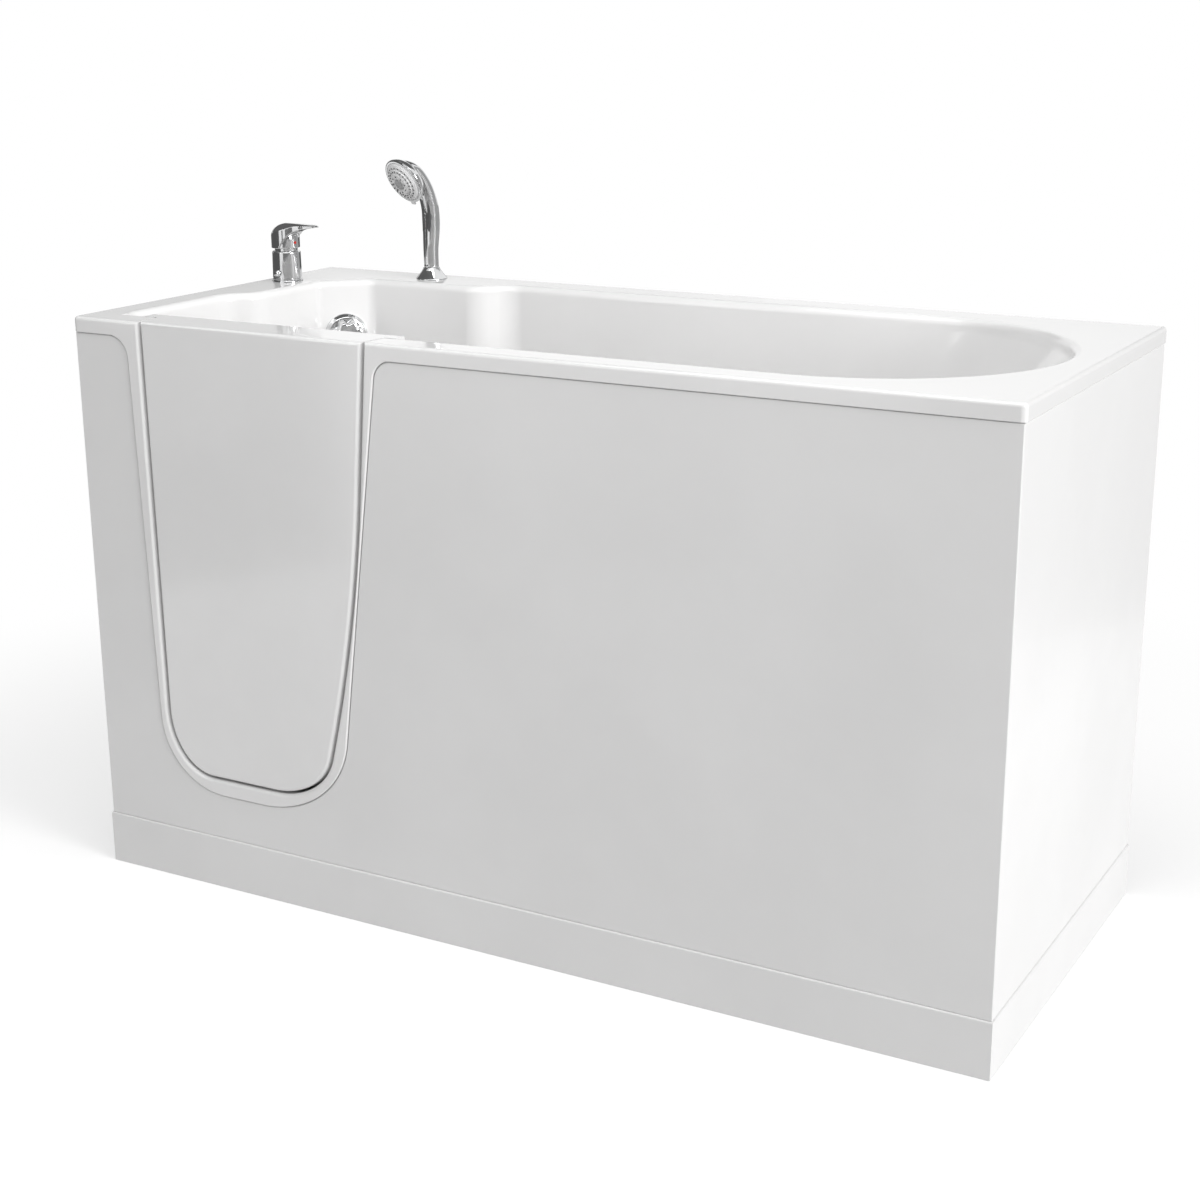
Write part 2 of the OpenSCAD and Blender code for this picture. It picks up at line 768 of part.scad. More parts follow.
module hinge_frame_leaves() color("silver") placed() for (z = leaf_height) translate([0, 0, z]) {
    difference() {
        union() {
            translate([left_rim + 4, jamb_depth, 0])
                cube([hinge_x - left_rim - 4, leaf_thickness, hinge_length]);
            for (k = [0, 3]) translate([hinge_x, hinge_y, k * knuckle]) cylinder(r = knuckle_r, h = knuckle);
        }
        translate([hinge_x, hinge_y, -1]) cylinder(r = hinge_pin_r + hinge_pin_clearance, h = hinge_length + 2);
        translate([hinge_x - knuckle_r - leaf_gap, jamb_depth - 1, knuckle])
            cube([2 * knuckle_r + 2 * leaf_gap, leaf_thickness + 2, 2 * knuckle]);
    }
}

module hinge_door_leaves() color("silver") placed() for (z = leaf_height) translate([0, 0, z]) {
    difference() {
        union() {
            translate([hinge_x, hinge_y, knuckle + leaf_gap])
                cylinder(r = knuckle_r, h = 2 * knuckle - 2 * leaf_gap);
            translate([hinge_x, hinge_y, knuckle + leaf_gap])
                cube([flange_left - hinge_x, knuckle_r, 2 * knuckle - 2 * leaf_gap]);
            translate([leaf_side, hinge_y, knuckle + leaf_gap])
                cube([leaf_thickness, door_thickness - hinge_y, 2 * knuckle - 2 * leaf_gap]);
            translate([leaf_side, hinge_y + knuckle_r + 2, 0])
                cube([leaf_thickness, door_thickness + leaf_thickness - hinge_y - knuckle_r - 2, hinge_length]);
            translate([leaf_side, door_thickness, 0]) cube([leaf_reach, leaf_thickness, hinge_length]);
        }
        translate([hinge_x, hinge_y, -1]) cylinder(r = hinge_pin_r + hinge_pin_clearance, h = hinge_length + 2);
    }
}

module hinge_pins() color("silver") placed() for (z = leaf_height) translate([hinge_x, hinge_y, z]) {
    cylinder(r = hinge_pin_r, h = hinge_length);
    translate([0, 0, hinge_length]) cylinder(r = hinge_pin_r + 2, h = 2);
}

module hinge_screws() color("silver") placed()
    for (z = leaf_height, k = [0.2, 0.8])
        translate([leaf_side + leaf_reach - 14, door_thickness + leaf_thickness, z + k * hinge_length])
            rotate([-90, 0, 0]) cylinder(r1 = screw_head_r, r2 = screw_head_r - 1.5, h = screw_head);

// ---- latch ----------------------------------------------------------------------------------

module latch_housing() color("white") placed() difference() {
    translate([housing_left, door_thickness, latch_height - housing_width / 2])
        cube([housing_right - housing_left, housing_back - door_thickness, housing_width]);
    translate([latch_x - 15, bolt_front - bolt_gap, latch_height - bolt_width / 2 - bolt_gap])
        cube([housing_right - latch_x + 20, bolt_depth + 2 * bolt_gap, bolt_width + 2 * bolt_gap]);
    translate([latch_x, bolt_front - bolt_gap, latch_height]) rotate([-90, 0, 0])
        cylinder(r = 2 * spindle_r + bolt_gap, h = bolt_depth + 2 * bolt_gap);
    translate([latch_x, bolt_front, latch_height]) rotate([-90, 0, 0])
        cylinder(r = spindle_r + thread_clearance, h = housing_back);
}

module latch_spindle() color("silver") placed()
    translate([latch_x, bolt_front, latch_height]) rotate([-90, 0, 0]) {
        cylinder(r = 2 * spindle_r, h = bolt_depth);
        cylinder(r = spindle_r, h = lever_front + lever_thickness - bolt_front - 3);
    }

module latch_lever() color("silver") placed()
    translate([latch_x, lever_front, latch_height]) rotate([-90, 0, 0]) difference() {
        hull() {
            cylinder(r = 14, h = lever_thickness);
            translate([20 - latch_lever_length, 0, 0]) cylinder(r = 9, h = lever_thickness);
            translate([9 - latch_lever_length, 0, 0]) cylinder(r = 9, h = lever_thickness - 3);
        }
        translate([0, 0, -1]) cylinder(r = spindle_r + thread_clearance, h = lever_thickness - 2);
    }

module latch_bolt() color("silver") placed()
    translate([bolt_tip - bolt_length, bolt_front, latch_height - bolt_width / 2])
        cube([bolt_length, bolt_depth, bolt_width]);

module latch_keeper() color("silver") placed() difference() {
    union() {
        translate([keeper_left, front_rim, latch_height - keeper_height / 2])
            cube([keeper_width, housing_back - front_rim, keeper_height]);
        translate([keeper_left, front_rim, latch_height - keeper_foot / 2])
            cube([keeper_width, 4, keeper_foot]);
    }
    translate([keeper_left - 1, bolt_front - 2, latch_height - bolt_width / 2 - 4])
        cube([keeper_width + 2, bolt_depth + 4, bolt_width + 8]);
}

module keeper_screws() color("silver") placed()
    for (side = [-1, 1])
        translate([keeper_left + keeper_width / 2, front_rim + 4,
                   latch_height + side * (keeper_height + keeper_foot) / 4])
            rotate([-90, 0, 0]) cylinder(r1 = screw_head_r, r2 = screw_head_r - 1.5, h = screw_head);

// ---- waste ----------------------------------------------------------------------------------

module at_waste() translate([waste_x, waste_y, 0]) children();

module waste_flange() color("silver") placed() at_waste() {
    difference() {
        union() {
            translate([0, 0, floor_height]) cylinder(r1 = waste_rim_r, r2 = waste_rim_r - 2, h = 2);
            translate([0, 0, trap_top - 10]) cylinder(r = throat_r, h = floor_height + 1 - trap_top + 10);
        }
        translate([0, 0, trap_top - 11]) cylinder(r = throat_r - 4, h = floor_height - trap_top + 20);
    }
    difference() {
        union() {
            translate([0, 0, guide_z]) cylinder(r = 2 * plug_stem_r, h = 6);
            for (a = [0, 120, 240]) rotate([0, 0, a]) translate([0, -1.5, guide_z])
                cube([throat_r - 2, 3, 6]);
        }
        translate([0, 0, guide_z - 1]) cylinder(r = guide_r, h = 8);
    }
}

module waste_gasket() color("black") placed() at_waste()
    translate([0, 0, floor_under - 3.5]) ring(waste_rim_r, throat_r + thread_clearance, 3.5);

module waste_nut() color("white") placed() at_waste()
    translate([0, 0, floor_under - 13.5]) hex_nut(2 * waste_rim_r - 2, throat_r + thread_clearance, 10);

module waste_trap() color("white") placed() at_waste() difference() {
    translate([0, 0, trap_foot]) cylinder(r = trap_r, h = trap_top - trap_foot);
    translate([0, 0, trap_foot + trap_wall])
        cylinder(r = trap_r - trap_wall, h = trap_top - trap_foot - 16 - trap_wall);
    translate([0, 0, trap_top - 20]) cylinder(r = throat_r - 4, h = 30);
    translate([0, 0, trap_top - 10]) cylinder(r = throat_r + thread_clearance, h = 20);
    translate([0, 0, outlet_z]) rotate([-90, 0, 0])
        cylinder(r = outlet_r + thread_clearance, h = trap_r + 2);
    translate([0, 0, pipe_z]) rotate([0, 0, pipe_turn + 180]) {
        rotate([0, 90, 0]) cylinder(r = overflow_pipe_r + thread_clearance, h = trap_r + 2);
        translate([cable_stop - 1, -cable_side, 0]) rotate([0, 90, 0])
            cylinder(r = cable_r + thread_clearance, h = trap_r);
    }
}

module waste_plug() color("silver") placed() at_waste() {
    translate([0, 0, floor_height + 2.4]) rotate_extrude()
        polygon([[0, 0], [waste_rim_r - 7, 0], [waste_rim_r - 7, 1.2], [waste_rim_r - 11, 3], [0, 4.4]]);
    translate([0, 0, guide_z - 12]) cylinder(r = plug_stem_r, h = floor_height + 3 - guide_z + 12);
}

module outlet_pipe() color("white") placed() translate([waste_x, 0, outlet_z]) rotate([-90, 0, 0])
    difference() {
        union() {
            translate([0, 0, waste_y + trap_r - trap_wall])
                cylinder(r = outlet_r, h = outlet_end - waste_y - trap_r + trap_wall);
            translate([0, 0, outlet_start]) cylinder(r = outlet_r + 4, h = 8);
        }
        translate([0, 0, waste_y]) cylinder(r = outlet_r - pipe_wall, h = tub_width);
    }

// ---- overflow -------------------------------------------------------------------------------

module overflow_rosette() color("silver") placed() at_overflow() difference() {
    union() {
        translate([0, 0, -7]) cylinder(r1 = rosette_r - 6, r2 = rosette_r, h = 7);
        translate([0, 0, -1]) cylinder(r = overflow_neck_r, h = shell_wall + 7);
    }
    translate([0, 0, -3]) cylinder(r = overflow_neck_r - 3, h = shell_wall + 20);
    translate([0, 0, -8]) cylinder(r = knob_stem_r + 0.06, h = 20);
}

module overflow_knob() color("silver") placed() at_overflow() {
    difference() {
        translate([0, 0, -34]) cylinder(r1 = knob_r - 3, r2 = knob_r, h = 26, $fn = 64);
        for (a = [0 : 45 : 315]) rotate([0, 0, a])
            translate([knob_r + 9, 0, -35]) cylinder(r = 13, h = 28);
    }
    translate([0, 0, -9]) cylinder(r = knob_stem_r, h = body_start + 19);
}

module overflow_gasket() color("black") placed() at_overflow()
    translate([0, 0, shell_wall]) ring(overflow_body_r, overflow_neck_r + 0.3, body_start - shell_wall);

module overflow_body() color("white") placed() difference() {
    at_overflow() translate([0, 0, body_start]) cylinder(r = overflow_body_r, h = body_length);
    at_overflow() translate([0, 0, body_start - 1]) cylinder(r = overflow_neck_r + thread_clearance, h = 7);
    at_overflow() translate([0, 0, body_start + 5]) cylinder(r = overflow_neck_r - 3, h = body_length - 10);
    // Sockets for the overflow pipe and the cable, which leave downwards, and for the filler pipe
    at_drop() translate([0, 0, -overflow_body_r - 1])
        cylinder(r = overflow_pipe_r + thread_clearance, h = overflow_body_r);
    at_drop() translate([0, cable_side, -overflow_body_r - 1])
        cylinder(r = cable_r + thread_clearance, h = cable_socket + 1);
    translate([mixer_x, filler_y, overflow_height]) rotate([0, 0, filler_turn]) rotate([0, 90, 0])
        cylinder(r = filler_r + thread_clearance, h = filler_run);
}

module at_drop() translate([drop_x, drop_y, overflow_height]) rotate([0, 0, pipe_turn]) children();

module overflow_pipe() color("white") placed() at_drop() translate([0, 0, 6 - overflow_body_r]) {
    drop = overflow_height - overflow_body_r + 6 - pipe_z;
    run = pipe_run - trap_r + trap_wall;
    difference() {
        bent_rod(overflow_pipe_r, drop, pipe_bend, run);
        bent_rod(overflow_pipe_r - pipe_wall, drop, pipe_bend, run, 1);
    }
}

module popup_cable() color("black") placed() at_drop()
    translate([0, cable_side, cable_socket - 1 - overflow_body_r])
        bent_rod(cable_r, overflow_height - overflow_body_r + cable_socket - 1 - pipe_z, pipe_bend,
                 pipe_run - cable_stop);

module cable_clips() color("silver") placed() at_drop()
    for (i = [1 : 3]) translate([0, 0, -i * (overflow_height - pipe_z - pipe_bend) / 4]) difference() {
        union() {
            cylinder(r = overflow_pipe_r + 2, h = 12);
            translate([0, cable_side, 0]) cylinder(r = cable_r + 2, h = 12);
        }
        translate([0, 0, -1]) cylinder(r = overflow_pipe_r + thread_clearance, h = 14);
        translate([0, cable_side, -1]) cylinder(r = cable_r + thread_clearance, h = 14);
    }

module filler_pipe() color("peru") placed() translate([mixer_x, filler_y, rim_height + base_ring_height])
    rotate([0, 0, filler_turn]) {
        drop = rim_height + base_ring_height - overflow_height;
        run = filler_run - overflow_body_r + 5;
        difference() {
            bent_rod(filler_r, drop, filler_bend, run);
            bent_rod(filler_r - 1, drop, filler_bend, run, 1);
        }
    }

// ---- mixer ----------------------------------------------------------------------------------

module at_mixer() translate([mixer_x, mixer_y, rim_height]) children();

module mixer_base_ring() color("silver") placed() at_mixer()
    ring(mixer_r + 1.5, shank_r + 3, base_ring_height);

module mixer_body() color("silver") placed() at_mixer() difference() {
    translate([0, 0, base_ring_height]) rotate_extrude() polygon([
        [0, 0], [mixer_r, 0], [mixer_r, 3], [mixer_r - 0.6, mixer_body_height - base_ring_height - 3],
        [mixer_r - 1.6, mixer_body_height - base_ring_height], [0, mixer_body_height - base_ring_height]
    ]);
    translate([0, 0, 15]) cylinder(r = mixer_cup_r, h = mixer_body_height);
    translate([0, -mixer_r - 1, diverter_rise]) rotate([-90, 0, 0]) cylinder(r = diverter_r + 0.06, h = 9);
}

module mixer_cartridge() color("white") placed() at_mixer() difference() {
    union() {
        translate([0, 0, 15.3]) cylinder(r = mixer_cup_r - 0.3, h = mixer_body_height - 15.3);
        translate([0, 0, mixer_body_height]) cylinder(r1 = cap_r, r2 = cap_r - 2, h = groove);
    }
    translate([0, 0, mixer_body_height - 12]) cylinder(r = stem_r + 0.06, h = 20);
}

module mixer_stem() color("silver") placed() at_mixer()
    translate([0, 0, mixer_body_height - 11])
        cylinder(r = stem_r, h = mixer_height - lever_crown - stem_clearance - mixer_body_height + 11);

// The lever's domed cap and the bill that runs out of it
module lever_shape() {
    top = mixer_height - mixer_body_height - groove;
    hull() {
        cylinder(r = lever_r, h = top - 16);
        translate([0, 0, top - 16]) cylinder(r1 = lever_r, r2 = lever_r - 9, h = 12);
        translate([-4, 0, top - 6]) cylinder(r = 12, h = 4);
    }
    hull() {
        translate([-8, 0, top - 16]) cylinder(r = 13, h = 16);
        translate([18, 0, top - 12]) cylinder(r = 11, h = 11);
        translate([lever_reach - 9, 0, top - 4]) cylinder(r = 9, h = 4);
    }
}

module at_dot() translate([mixer_x, mixer_y, lever_foot + 9.5]) rotate([0, 0, dot_turn])
    translate([lever_r - 1, 0, 0]) rotate([0, 90, 0]) children();

module mixer_lever() color("silver") placed() difference() {
    translate([mixer_x, mixer_y, lever_foot]) difference() {
        lever_shape();
        translate([0, 0, -1])
            cylinder(r = lever_r - lever_wall, h = mixer_height - mixer_body_height - groove - lever_crown + 1);
    }
    at_dot() cylinder(r = dot_r + 0.15, h = 5);
}

module lever_dot() color("red") placed() at_dot() cylinder(r = dot_r, h = 1.4);

module diverter_knob() color("silver") placed() at_mixer()
    translate([0, -mixer_r, diverter_rise]) rotate([90, 0, 0]) {
        translate([0, 0, 1]) cylinder(r1 = 2 * diverter_r + 0.5, r2 = 2 * diverter_r - 0.5, h = 8);
        translate([0, 0, -6]) cylinder(r = diverter_r, h = 8);
    }

module mixer_shank() color("silver") placed() at_mixer()
    translate([0, 0, -shank_length]) ring(shank_r, shank_bore_r, shank_length + base_ring_height);

module mixer_locknut() color("silver") placed() at_mixer() {
    translate([0, 0, -shell_wall - 2]) ring(shank_r + 8, shank_r + thread_clearance, 2);
    translate([0, 0, -shell_wall - 10]) hex_nut(2 * shank_r + 8, shank_r + thread_clearance, 8);
}

module copper_tails() color("peru") placed() at_mixer() for (side = [-1, 1])
    translate([side * (tail_r + 2), -4, -tail_length]) difference() {
        union() {
            cylinder(r = tail_r, h = tail_length + base_ring_height);
            translate([0, 0, tail_free]) cylinder(r = tail_r + 1.5, h = 6);
        }
        translate([0, 0, -1]) cylinder(r = tail_r - 1, h = tail_length + base_ring_height + 2);
    }

// ---- shower ---------------------------------------------------------------------------------

module at_shower() translate([shower_x, shower_y, rim_height]) children();

module shower_holder() color("silver") placed() at_shower() difference() {
    rotate_extrude() polygon([
        [0, 0], [holder_r, 0], [holder_r, 2], [holder_r - 7, 6], [holder_top_r + 1, holder_height - 3],
        [holder_top_r, holder_height], [0, holder_height]
    ]);
    translate([0, 0, -1]) cylinder(r = handset_end_r + holder_gap, h = holder_height + 2);
}

module holder_sleeve() color("silver") placed() at_shower() {
    translate([0, 0, -sleeve_length]) ring(sleeve_r, handset_end_r + holder_gap, sleeve_length);
    translate([0, 0, -shell_wall - 8]) hex_nut(2 * sleeve_r + 8, sleeve_r - eps, 8);
}

// Moves to the frame of the handset, with x towards the head
module at_handset() at_shower() rotate([0, 0, -90 - handset_turn]) children();
module at_face() at_handset() translate([head_out, 0, head_up])
    rotate([0, 90 + head_tilt, 0]) children();

// Sections of the handle from its foot to the head: [out, up, half width, half depth, lean]
handle_sections = [
    [0, -16, handset_end_r, handset_end_r, 0], [0, holder_height + 1, handset_end_r, handset_end_r, 0],
    [0, holder_height + 4.5, 12.8, 12, 0], [0.3, 50, 13.2, 12.4, 0], [-1.5, 80, 14.6, 13.8, 0],
    [-1.8, 100, 15.2, 14.2, 1], [-0.8, 118, 15.4, 13.8, 7], [3.5, 136, 16, 13, 17],
    [10.5, 153, 18.5, 12.2, 30], [21, 168, 23, 11.2, 43], [33, 180, 28, 9.6, 53],
    [45, 188.5, 30, 7.5, 60],
];

module handle() {
    sides = 20;
    loft([for (s = handle_sections) [for (i = [0 : sides - 1])
        let (a = 360 * i / sides, across = s[2] * sin(a), along = s[3] * cos(a))
        [s[0] + along * cos(s[4]), across, s[1] - along * sin(s[4])]]]);
}

module handset_body() color("silver") placed() difference() {
    union() {
        at_handset() handle();
        at_face() translate([0, 0, head_front - 17]) rotate_extrude() polygon([
            [0, 0], [17, 0], [29, 3.5], [head_r - 3, 9], [head_r, 13.5], [head_r, 17], [0, 17]
        ]);
    }
    at_handset() translate([0, 0, -17]) cylinder(r = handset_end_r - 3, h = 110);
    at_face() translate([0, 0, head_front - 9]) cylinder(r = plate_r - 3, h = 20);
}

// Height of the domed face at a radius, from its crown
function dome(r) = -r * r / (2 * face_radius);

// The face's rows of nozzles stand on flat terraces
module spray_plate() color("lightgray") placed() at_face() rotate_extrude() polygon(concat(
    [[0, 0], [0, head_front], [plate_r, head_front], [plate_r, dome(plate_r)]],
    [for (i = [2 : -1 : 0], side = [2, -2]) [nozzle_rows[i][0] + side, dome(nozzle_rows[i][0])]],
    [[9, -0.4]]
));

module spray_nozzles() color("dimgray") placed() at_face() for (row = nozzle_rows)
    for (i = [0 : row[1] - 1]) rotate([0, 0, 360 * i / row[1]]) translate([row[0], 0, dome(row[0])])
        cylinder(r1 = 1.2, r2 = 0.9, h = 1.2);

module spray_selector() color("silver") placed() at_face() translate([0, 0, head_front + 0.3]) {
    ring(head_r, plate_r + 0.3, 2.1);
    translate([head_r - 3, -5, 0]) cube([7, 10, 2.1]);
}

tub_shell();
front_panel();
end_panel();
front_plinth();
end_plinth();
front_rail();
back_rail();
cross_rails();
corner_posts();
seat_props();
seat_bearers();
foot_studs();
foot_pads();
foot_locknuts();
plinth_brackets();
panel_clips();
door_outer_shell();
door_inner_shell();
door_core();
door_seal();
hinge_frame_leaves();
hinge_door_leaves();
hinge_pins();
hinge_screws();
latch_housing();
latch_spindle();
latch_lever();
latch_bolt();
latch_keeper();
keeper_screws();
waste_flange();
waste_gasket();
waste_nut();
waste_trap();
waste_plug();
outlet_pipe();
overflow_rosette();
overflow_knob();
overflow_gasket();
overflow_body();
overflow_pipe();
popup_cable();
cable_clips();
filler_pipe();
mixer_base_ring();
mixer_body();
mixer_cartridge();
mixer_stem();
mixer_lever();
lever_dot();
diverter_knob();
mixer_shank();
mixer_locknut();
copper_tails();
shower_holder();
holder_sleeve();
handset_body();
spray_plate();
spray_nozzles();
spray_selector();
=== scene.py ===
"""The looks of a walk in bathtub with an inward-opening door.

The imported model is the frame. Each sub-assembly below rebuilds its visible pieces with finer
outlines and edges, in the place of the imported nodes, and dresses them in procedural finishes.
Sizes are in millimetres from the tub's front left corner on the floor, with x along the front,
y towards the wall and z up. A piece is moved to the shared frame, in metres, when it is made.
"""

import json
import logging
import math
from dataclasses import dataclass, field
from enum import Enum
from typing import Callable, Iterable, Optional, Sequence

import bmesh
import bpy
import numpy as np
from mathutils import Matrix, Vector


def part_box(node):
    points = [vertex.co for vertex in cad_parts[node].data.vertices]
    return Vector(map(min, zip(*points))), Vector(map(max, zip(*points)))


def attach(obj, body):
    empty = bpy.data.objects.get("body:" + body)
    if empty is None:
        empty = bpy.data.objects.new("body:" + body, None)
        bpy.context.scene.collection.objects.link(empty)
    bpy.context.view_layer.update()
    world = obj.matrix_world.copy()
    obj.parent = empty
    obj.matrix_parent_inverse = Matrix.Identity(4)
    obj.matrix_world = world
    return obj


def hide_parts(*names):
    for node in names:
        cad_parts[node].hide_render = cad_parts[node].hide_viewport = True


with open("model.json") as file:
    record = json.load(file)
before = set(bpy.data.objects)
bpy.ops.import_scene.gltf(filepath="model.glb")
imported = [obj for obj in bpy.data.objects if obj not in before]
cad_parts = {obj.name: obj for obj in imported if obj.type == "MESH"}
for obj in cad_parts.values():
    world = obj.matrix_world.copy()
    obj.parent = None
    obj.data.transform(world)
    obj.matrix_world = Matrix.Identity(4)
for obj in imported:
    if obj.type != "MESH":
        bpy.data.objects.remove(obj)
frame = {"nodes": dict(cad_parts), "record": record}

log = logging.getLogger("bathtub")

TUB_LENGTH, TUB_WIDTH, RIM = 1500.0, 660.0, 900.0
SHELL = 6.0
MM = 0.001

Point = tuple[float, float]
Corner = tuple[float, float, float, float]
Ring = np.ndarray
Socket, Node, Tree = bpy.types.NodeSocket, bpy.types.Node, bpy.types.NodeTree
Piece, Material = bpy.types.Object, bpy.types.Material


# ---- outlines -----------------------------------------------------------------------------------


def unit(v: np.ndarray) -> np.ndarray:
    """The direction of a vector."""
    return v / np.linalg.norm(v)


def arc(before: Corner, corner: Corner, after: Corner, steps: int) -> list[np.ndarray]:
    """The points of one rounded corner.

    Args:
        before: The corner before it.
        corner: The corner, with how far its rounding reaches each way.
        after: The corner after it.
        steps: How many chords the rounding has.

    Returns:
        One point for a sharp corner, and steps + 1 points for a rounded one.
    """
    c = np.array(corner[:2], float)
    if corner[2] == 0:
        return [c]
    to_before, to_after = unit(np.array(before[:2]) - c), unit(np.array(after[:2]) - c)
    a, b = c + to_before * corner[2], c + to_after * corner[3]
    weight = math.sin(math.acos(max(-1.0, min(1.0, float(to_before @ to_after)))) / 2)
    points = []
    for i in range(steps + 1):
        t = i / steps
        u = 1 - t
        total = u * u + 2 * weight * t * u + t * t
        points.append((u * u * a + 2 * weight * t * u * c + t * t * b) / total)
    return points


def outline(corners: Sequence[Corner], steps: int = 20) -> np.ndarray:
    """The points of a closed outline whose corners run anticlockwise."""
    n = len(corners)
    arcs = [arc(corners[i - 1], corners[i], corners[(i + 1) % n], steps) for i in range(n)]
    return np.array([p for each in arcs for p in each])


def grown(corners: Sequence[Corner], distance: float) -> list[Corner]:
    """The corners of an outline that lies a distance outside another, or inside it when negative."""
    n, found = len(corners), []
    for i, (x, y, before, after) in enumerate(corners):
        here = np.array([x, y], float)
        into = unit(here - np.array(corners[i - 1][:2]))
        out = unit(np.array(corners[(i + 1) % n][:2]) - here)
        share = distance / (1 + float(into @ out))
        turn = share * (into[0] * out[1] - into[1] * out[0])
        found.append((
            x + share * (into[1] + out[1]), y - share * (into[0] + out[0]),
            0.0 if before == 0 else max(2.0, before + turn),
            0.0 if after == 0 else max(2.0, after + turn),
        ))
    return found


def under_rim(corners: Sequence[Corner], distance: float) -> list[Corner]:
    """The corners of a grown outline, with nothing above the rim."""
    return [(x, min(z, RIM), a, b) for x, z, a, b in grown(corners, distance)]


def level(corners: Sequence[Corner], z: float, steps: int = 20) -> Ring:
    """An outline seen from above, at one height."""
    flat = outline(corners, steps)
    return np.column_stack([flat, np.full(len(flat), z)])


def front_ring(corners: Sequence[Corner], y: float, steps: int = 20) -> Ring:
    """An outline drawn on the tub's front, at a depth behind it."""
    flat = outline(corners, steps)
    return np.column_stack([flat[:, 0], np.full(len(flat), y), flat[:, 1]])


def quarter(steps: int) -> list[float]:
    """Angles of a quarter turn, from 90 degrees down to 0."""
    return [math.pi / 2 * (1 - i / steps) for i in range(steps + 1)]


def rolled(radius: float, steps: int) -> list[Point]:
    """How far in and how far back a rounded edge lies, from its side to its face."""
    return [(radius * (1 - math.sin(a)), radius * (1 - math.cos(a))) for a in quarter(steps)]


def turned(*steps: Matrix) -> np.ndarray:
    """One matrix that makes several moves, the last of them first."""
    made = Matrix.Identity(4)
    for step in steps:
        made = made @ step
    return np.array(made)


def shift(x: float, y: float, z: float) -> Matrix:
    """A move without a turn."""
    return Matrix.Translation((x, y, z))


def spin(degrees: float, axis: str) -> Matrix:
    """A turn about one axis."""
    return Matrix.Rotation(math.radians(degrees), 4, axis)


# ---- meshes -------------------------------------------------------------------------------------


@dataclass
class Skin:
    """The points and faces of a piece while it is made, in millimetres in the tub's frame."""

    points: list[np.ndarray] = field(default_factory=list)
    faces: list[tuple[int, ...]] = field(default_factory=list)
    count: int = 0

    def add(self, points: np.ndarray) -> int:
        """Keeps some points and gives the number of the first."""
        start = self.count
        self.points.append(np.asarray(points, float))
        self.count += len(points)
        return start

    def loft(self, rings: Sequence[Ring], capped: bool = True) -> "Skin":
        """Adds a skin over rings of equally many points, closed at both ends if capped."""
        starts = [self.add(ring) for ring in rings]
        n = len(rings[0])
        for low, high in zip(starts, starts[1:]):
            for j in range(n):
                k = (j + 1) % n
                self.faces.append((low + j, low + k, high + k, high + j))
        if capped:
            self.faces.append(tuple(starts[0] + j for j in reversed(range(n))))
            self.faces.append(tuple(starts[-1] + j for j in range(n)))
        return self

    def lathe(self, profile: Sequence[Point], sides: int = 72,
              scallop: Optional[Callable[[float, float, float], float]] = None) -> "Skin":
        """Adds a solid of revolution about z.

        Args:
            profile: Radius and height of each point of the section, from axis to axis.
            sides: How many points go round.
            scallop: Gives the radius from a radius, a height and an angle, where it isn't round.

        Returns:
            The skin itself.
        """
        around = np.linspace(0, 2 * math.pi, sides, endpoint=False)
        loops: list[list[int]] = []
        for r, z in profile:
            if r < 1e-6:
                loops.append([self.add(np.array([[0.0, 0.0, z]]))])
                continue
            reach = [scallop(r, z, a) if scallop else r for a in around]
            ring = [[q * math.cos(a), q * math.sin(a), z] for q, a in zip(reach, around)]
            start = self.add(np.array(ring))
            loops.append(list(range(start, start + sides)))
        for low, high in zip(loops, loops[1:]):
            for j in range(sides):
                k = (j + 1) % sides
                face = [low[j % len(low)], low[k % len(low)], high[k % len(high)], high[j % len(high)]]
                face = [p for i, p in enumerate(face) if p != face[i - 1]]
                if len(face) > 2:
                    self.faces.append(tuple(face))
        if loops[0] != loops[-1] and len(loops[0]) > 1 and len(loops[-1]) > 1:
            for j in range(sides):
                k = (j + 1) % sides
                self.faces.append((loops[-1][j], loops[-1][k], loops[0][k], loops[0][j]))
        return self

    def box(self, low: Sequence[float], high: Sequence[float]) -> "Skin":
        """Adds a plain box between two corners."""
        (x0, y0, _), (x1, y1, _) = low, high
        return self.loft([np.array([[x0, y0, z], [x1, y0, z], [x1, y1, z], [x0, y1, z]], float)
                          for z in (low[2], high[2])])

    def merge(self, other: "Skin") -> "Skin":
        """Adds another skin's points and faces."""
        start = self.add(np.vstack(other.points))
        self.faces += [tuple(start + i for i in face) for face in other.faces]
        return self

    def moved(self, matrix: np.ndarray) -> "Skin":
        """Moves everything added so far."""
        self.points = [p @ matrix[:3, :3].T + matrix[:3, 3] for p in self.points]
        return self

    def piece(self, name: str) -> Piece:
        """The finished mesh, in the shared frame."""
        points = (np.vstack(self.points) - [TUB_LENGTH / 2, TUB_WIDTH / 2, 0]) * MM
        mesh = bpy.data.meshes.new(name)
        mesh.from_pydata(points.tolist(), [], self.faces)
        return link(name, mesh, tidy=True)


def link(name: str, mesh: bpy.types.ID, tidy: bool = False) -> Piece:
    """Puts data in the scene; a mesh has doubles merged and faces turned outwards if tidy."""
    if tidy:
        bm = bmesh.new()
        bm.from_mesh(mesh)
        bmesh.ops.remove_doubles(bm, verts=bm.verts, dist=1e-7)
        bmesh.ops.recalc_face_normals(bm, faces=bm.faces)
        bm.to_mesh(mesh)
        bm.free()
    piece = bpy.data.objects.new(name, mesh)
    bpy.context.scene.collection.objects.link(piece)
    return piece


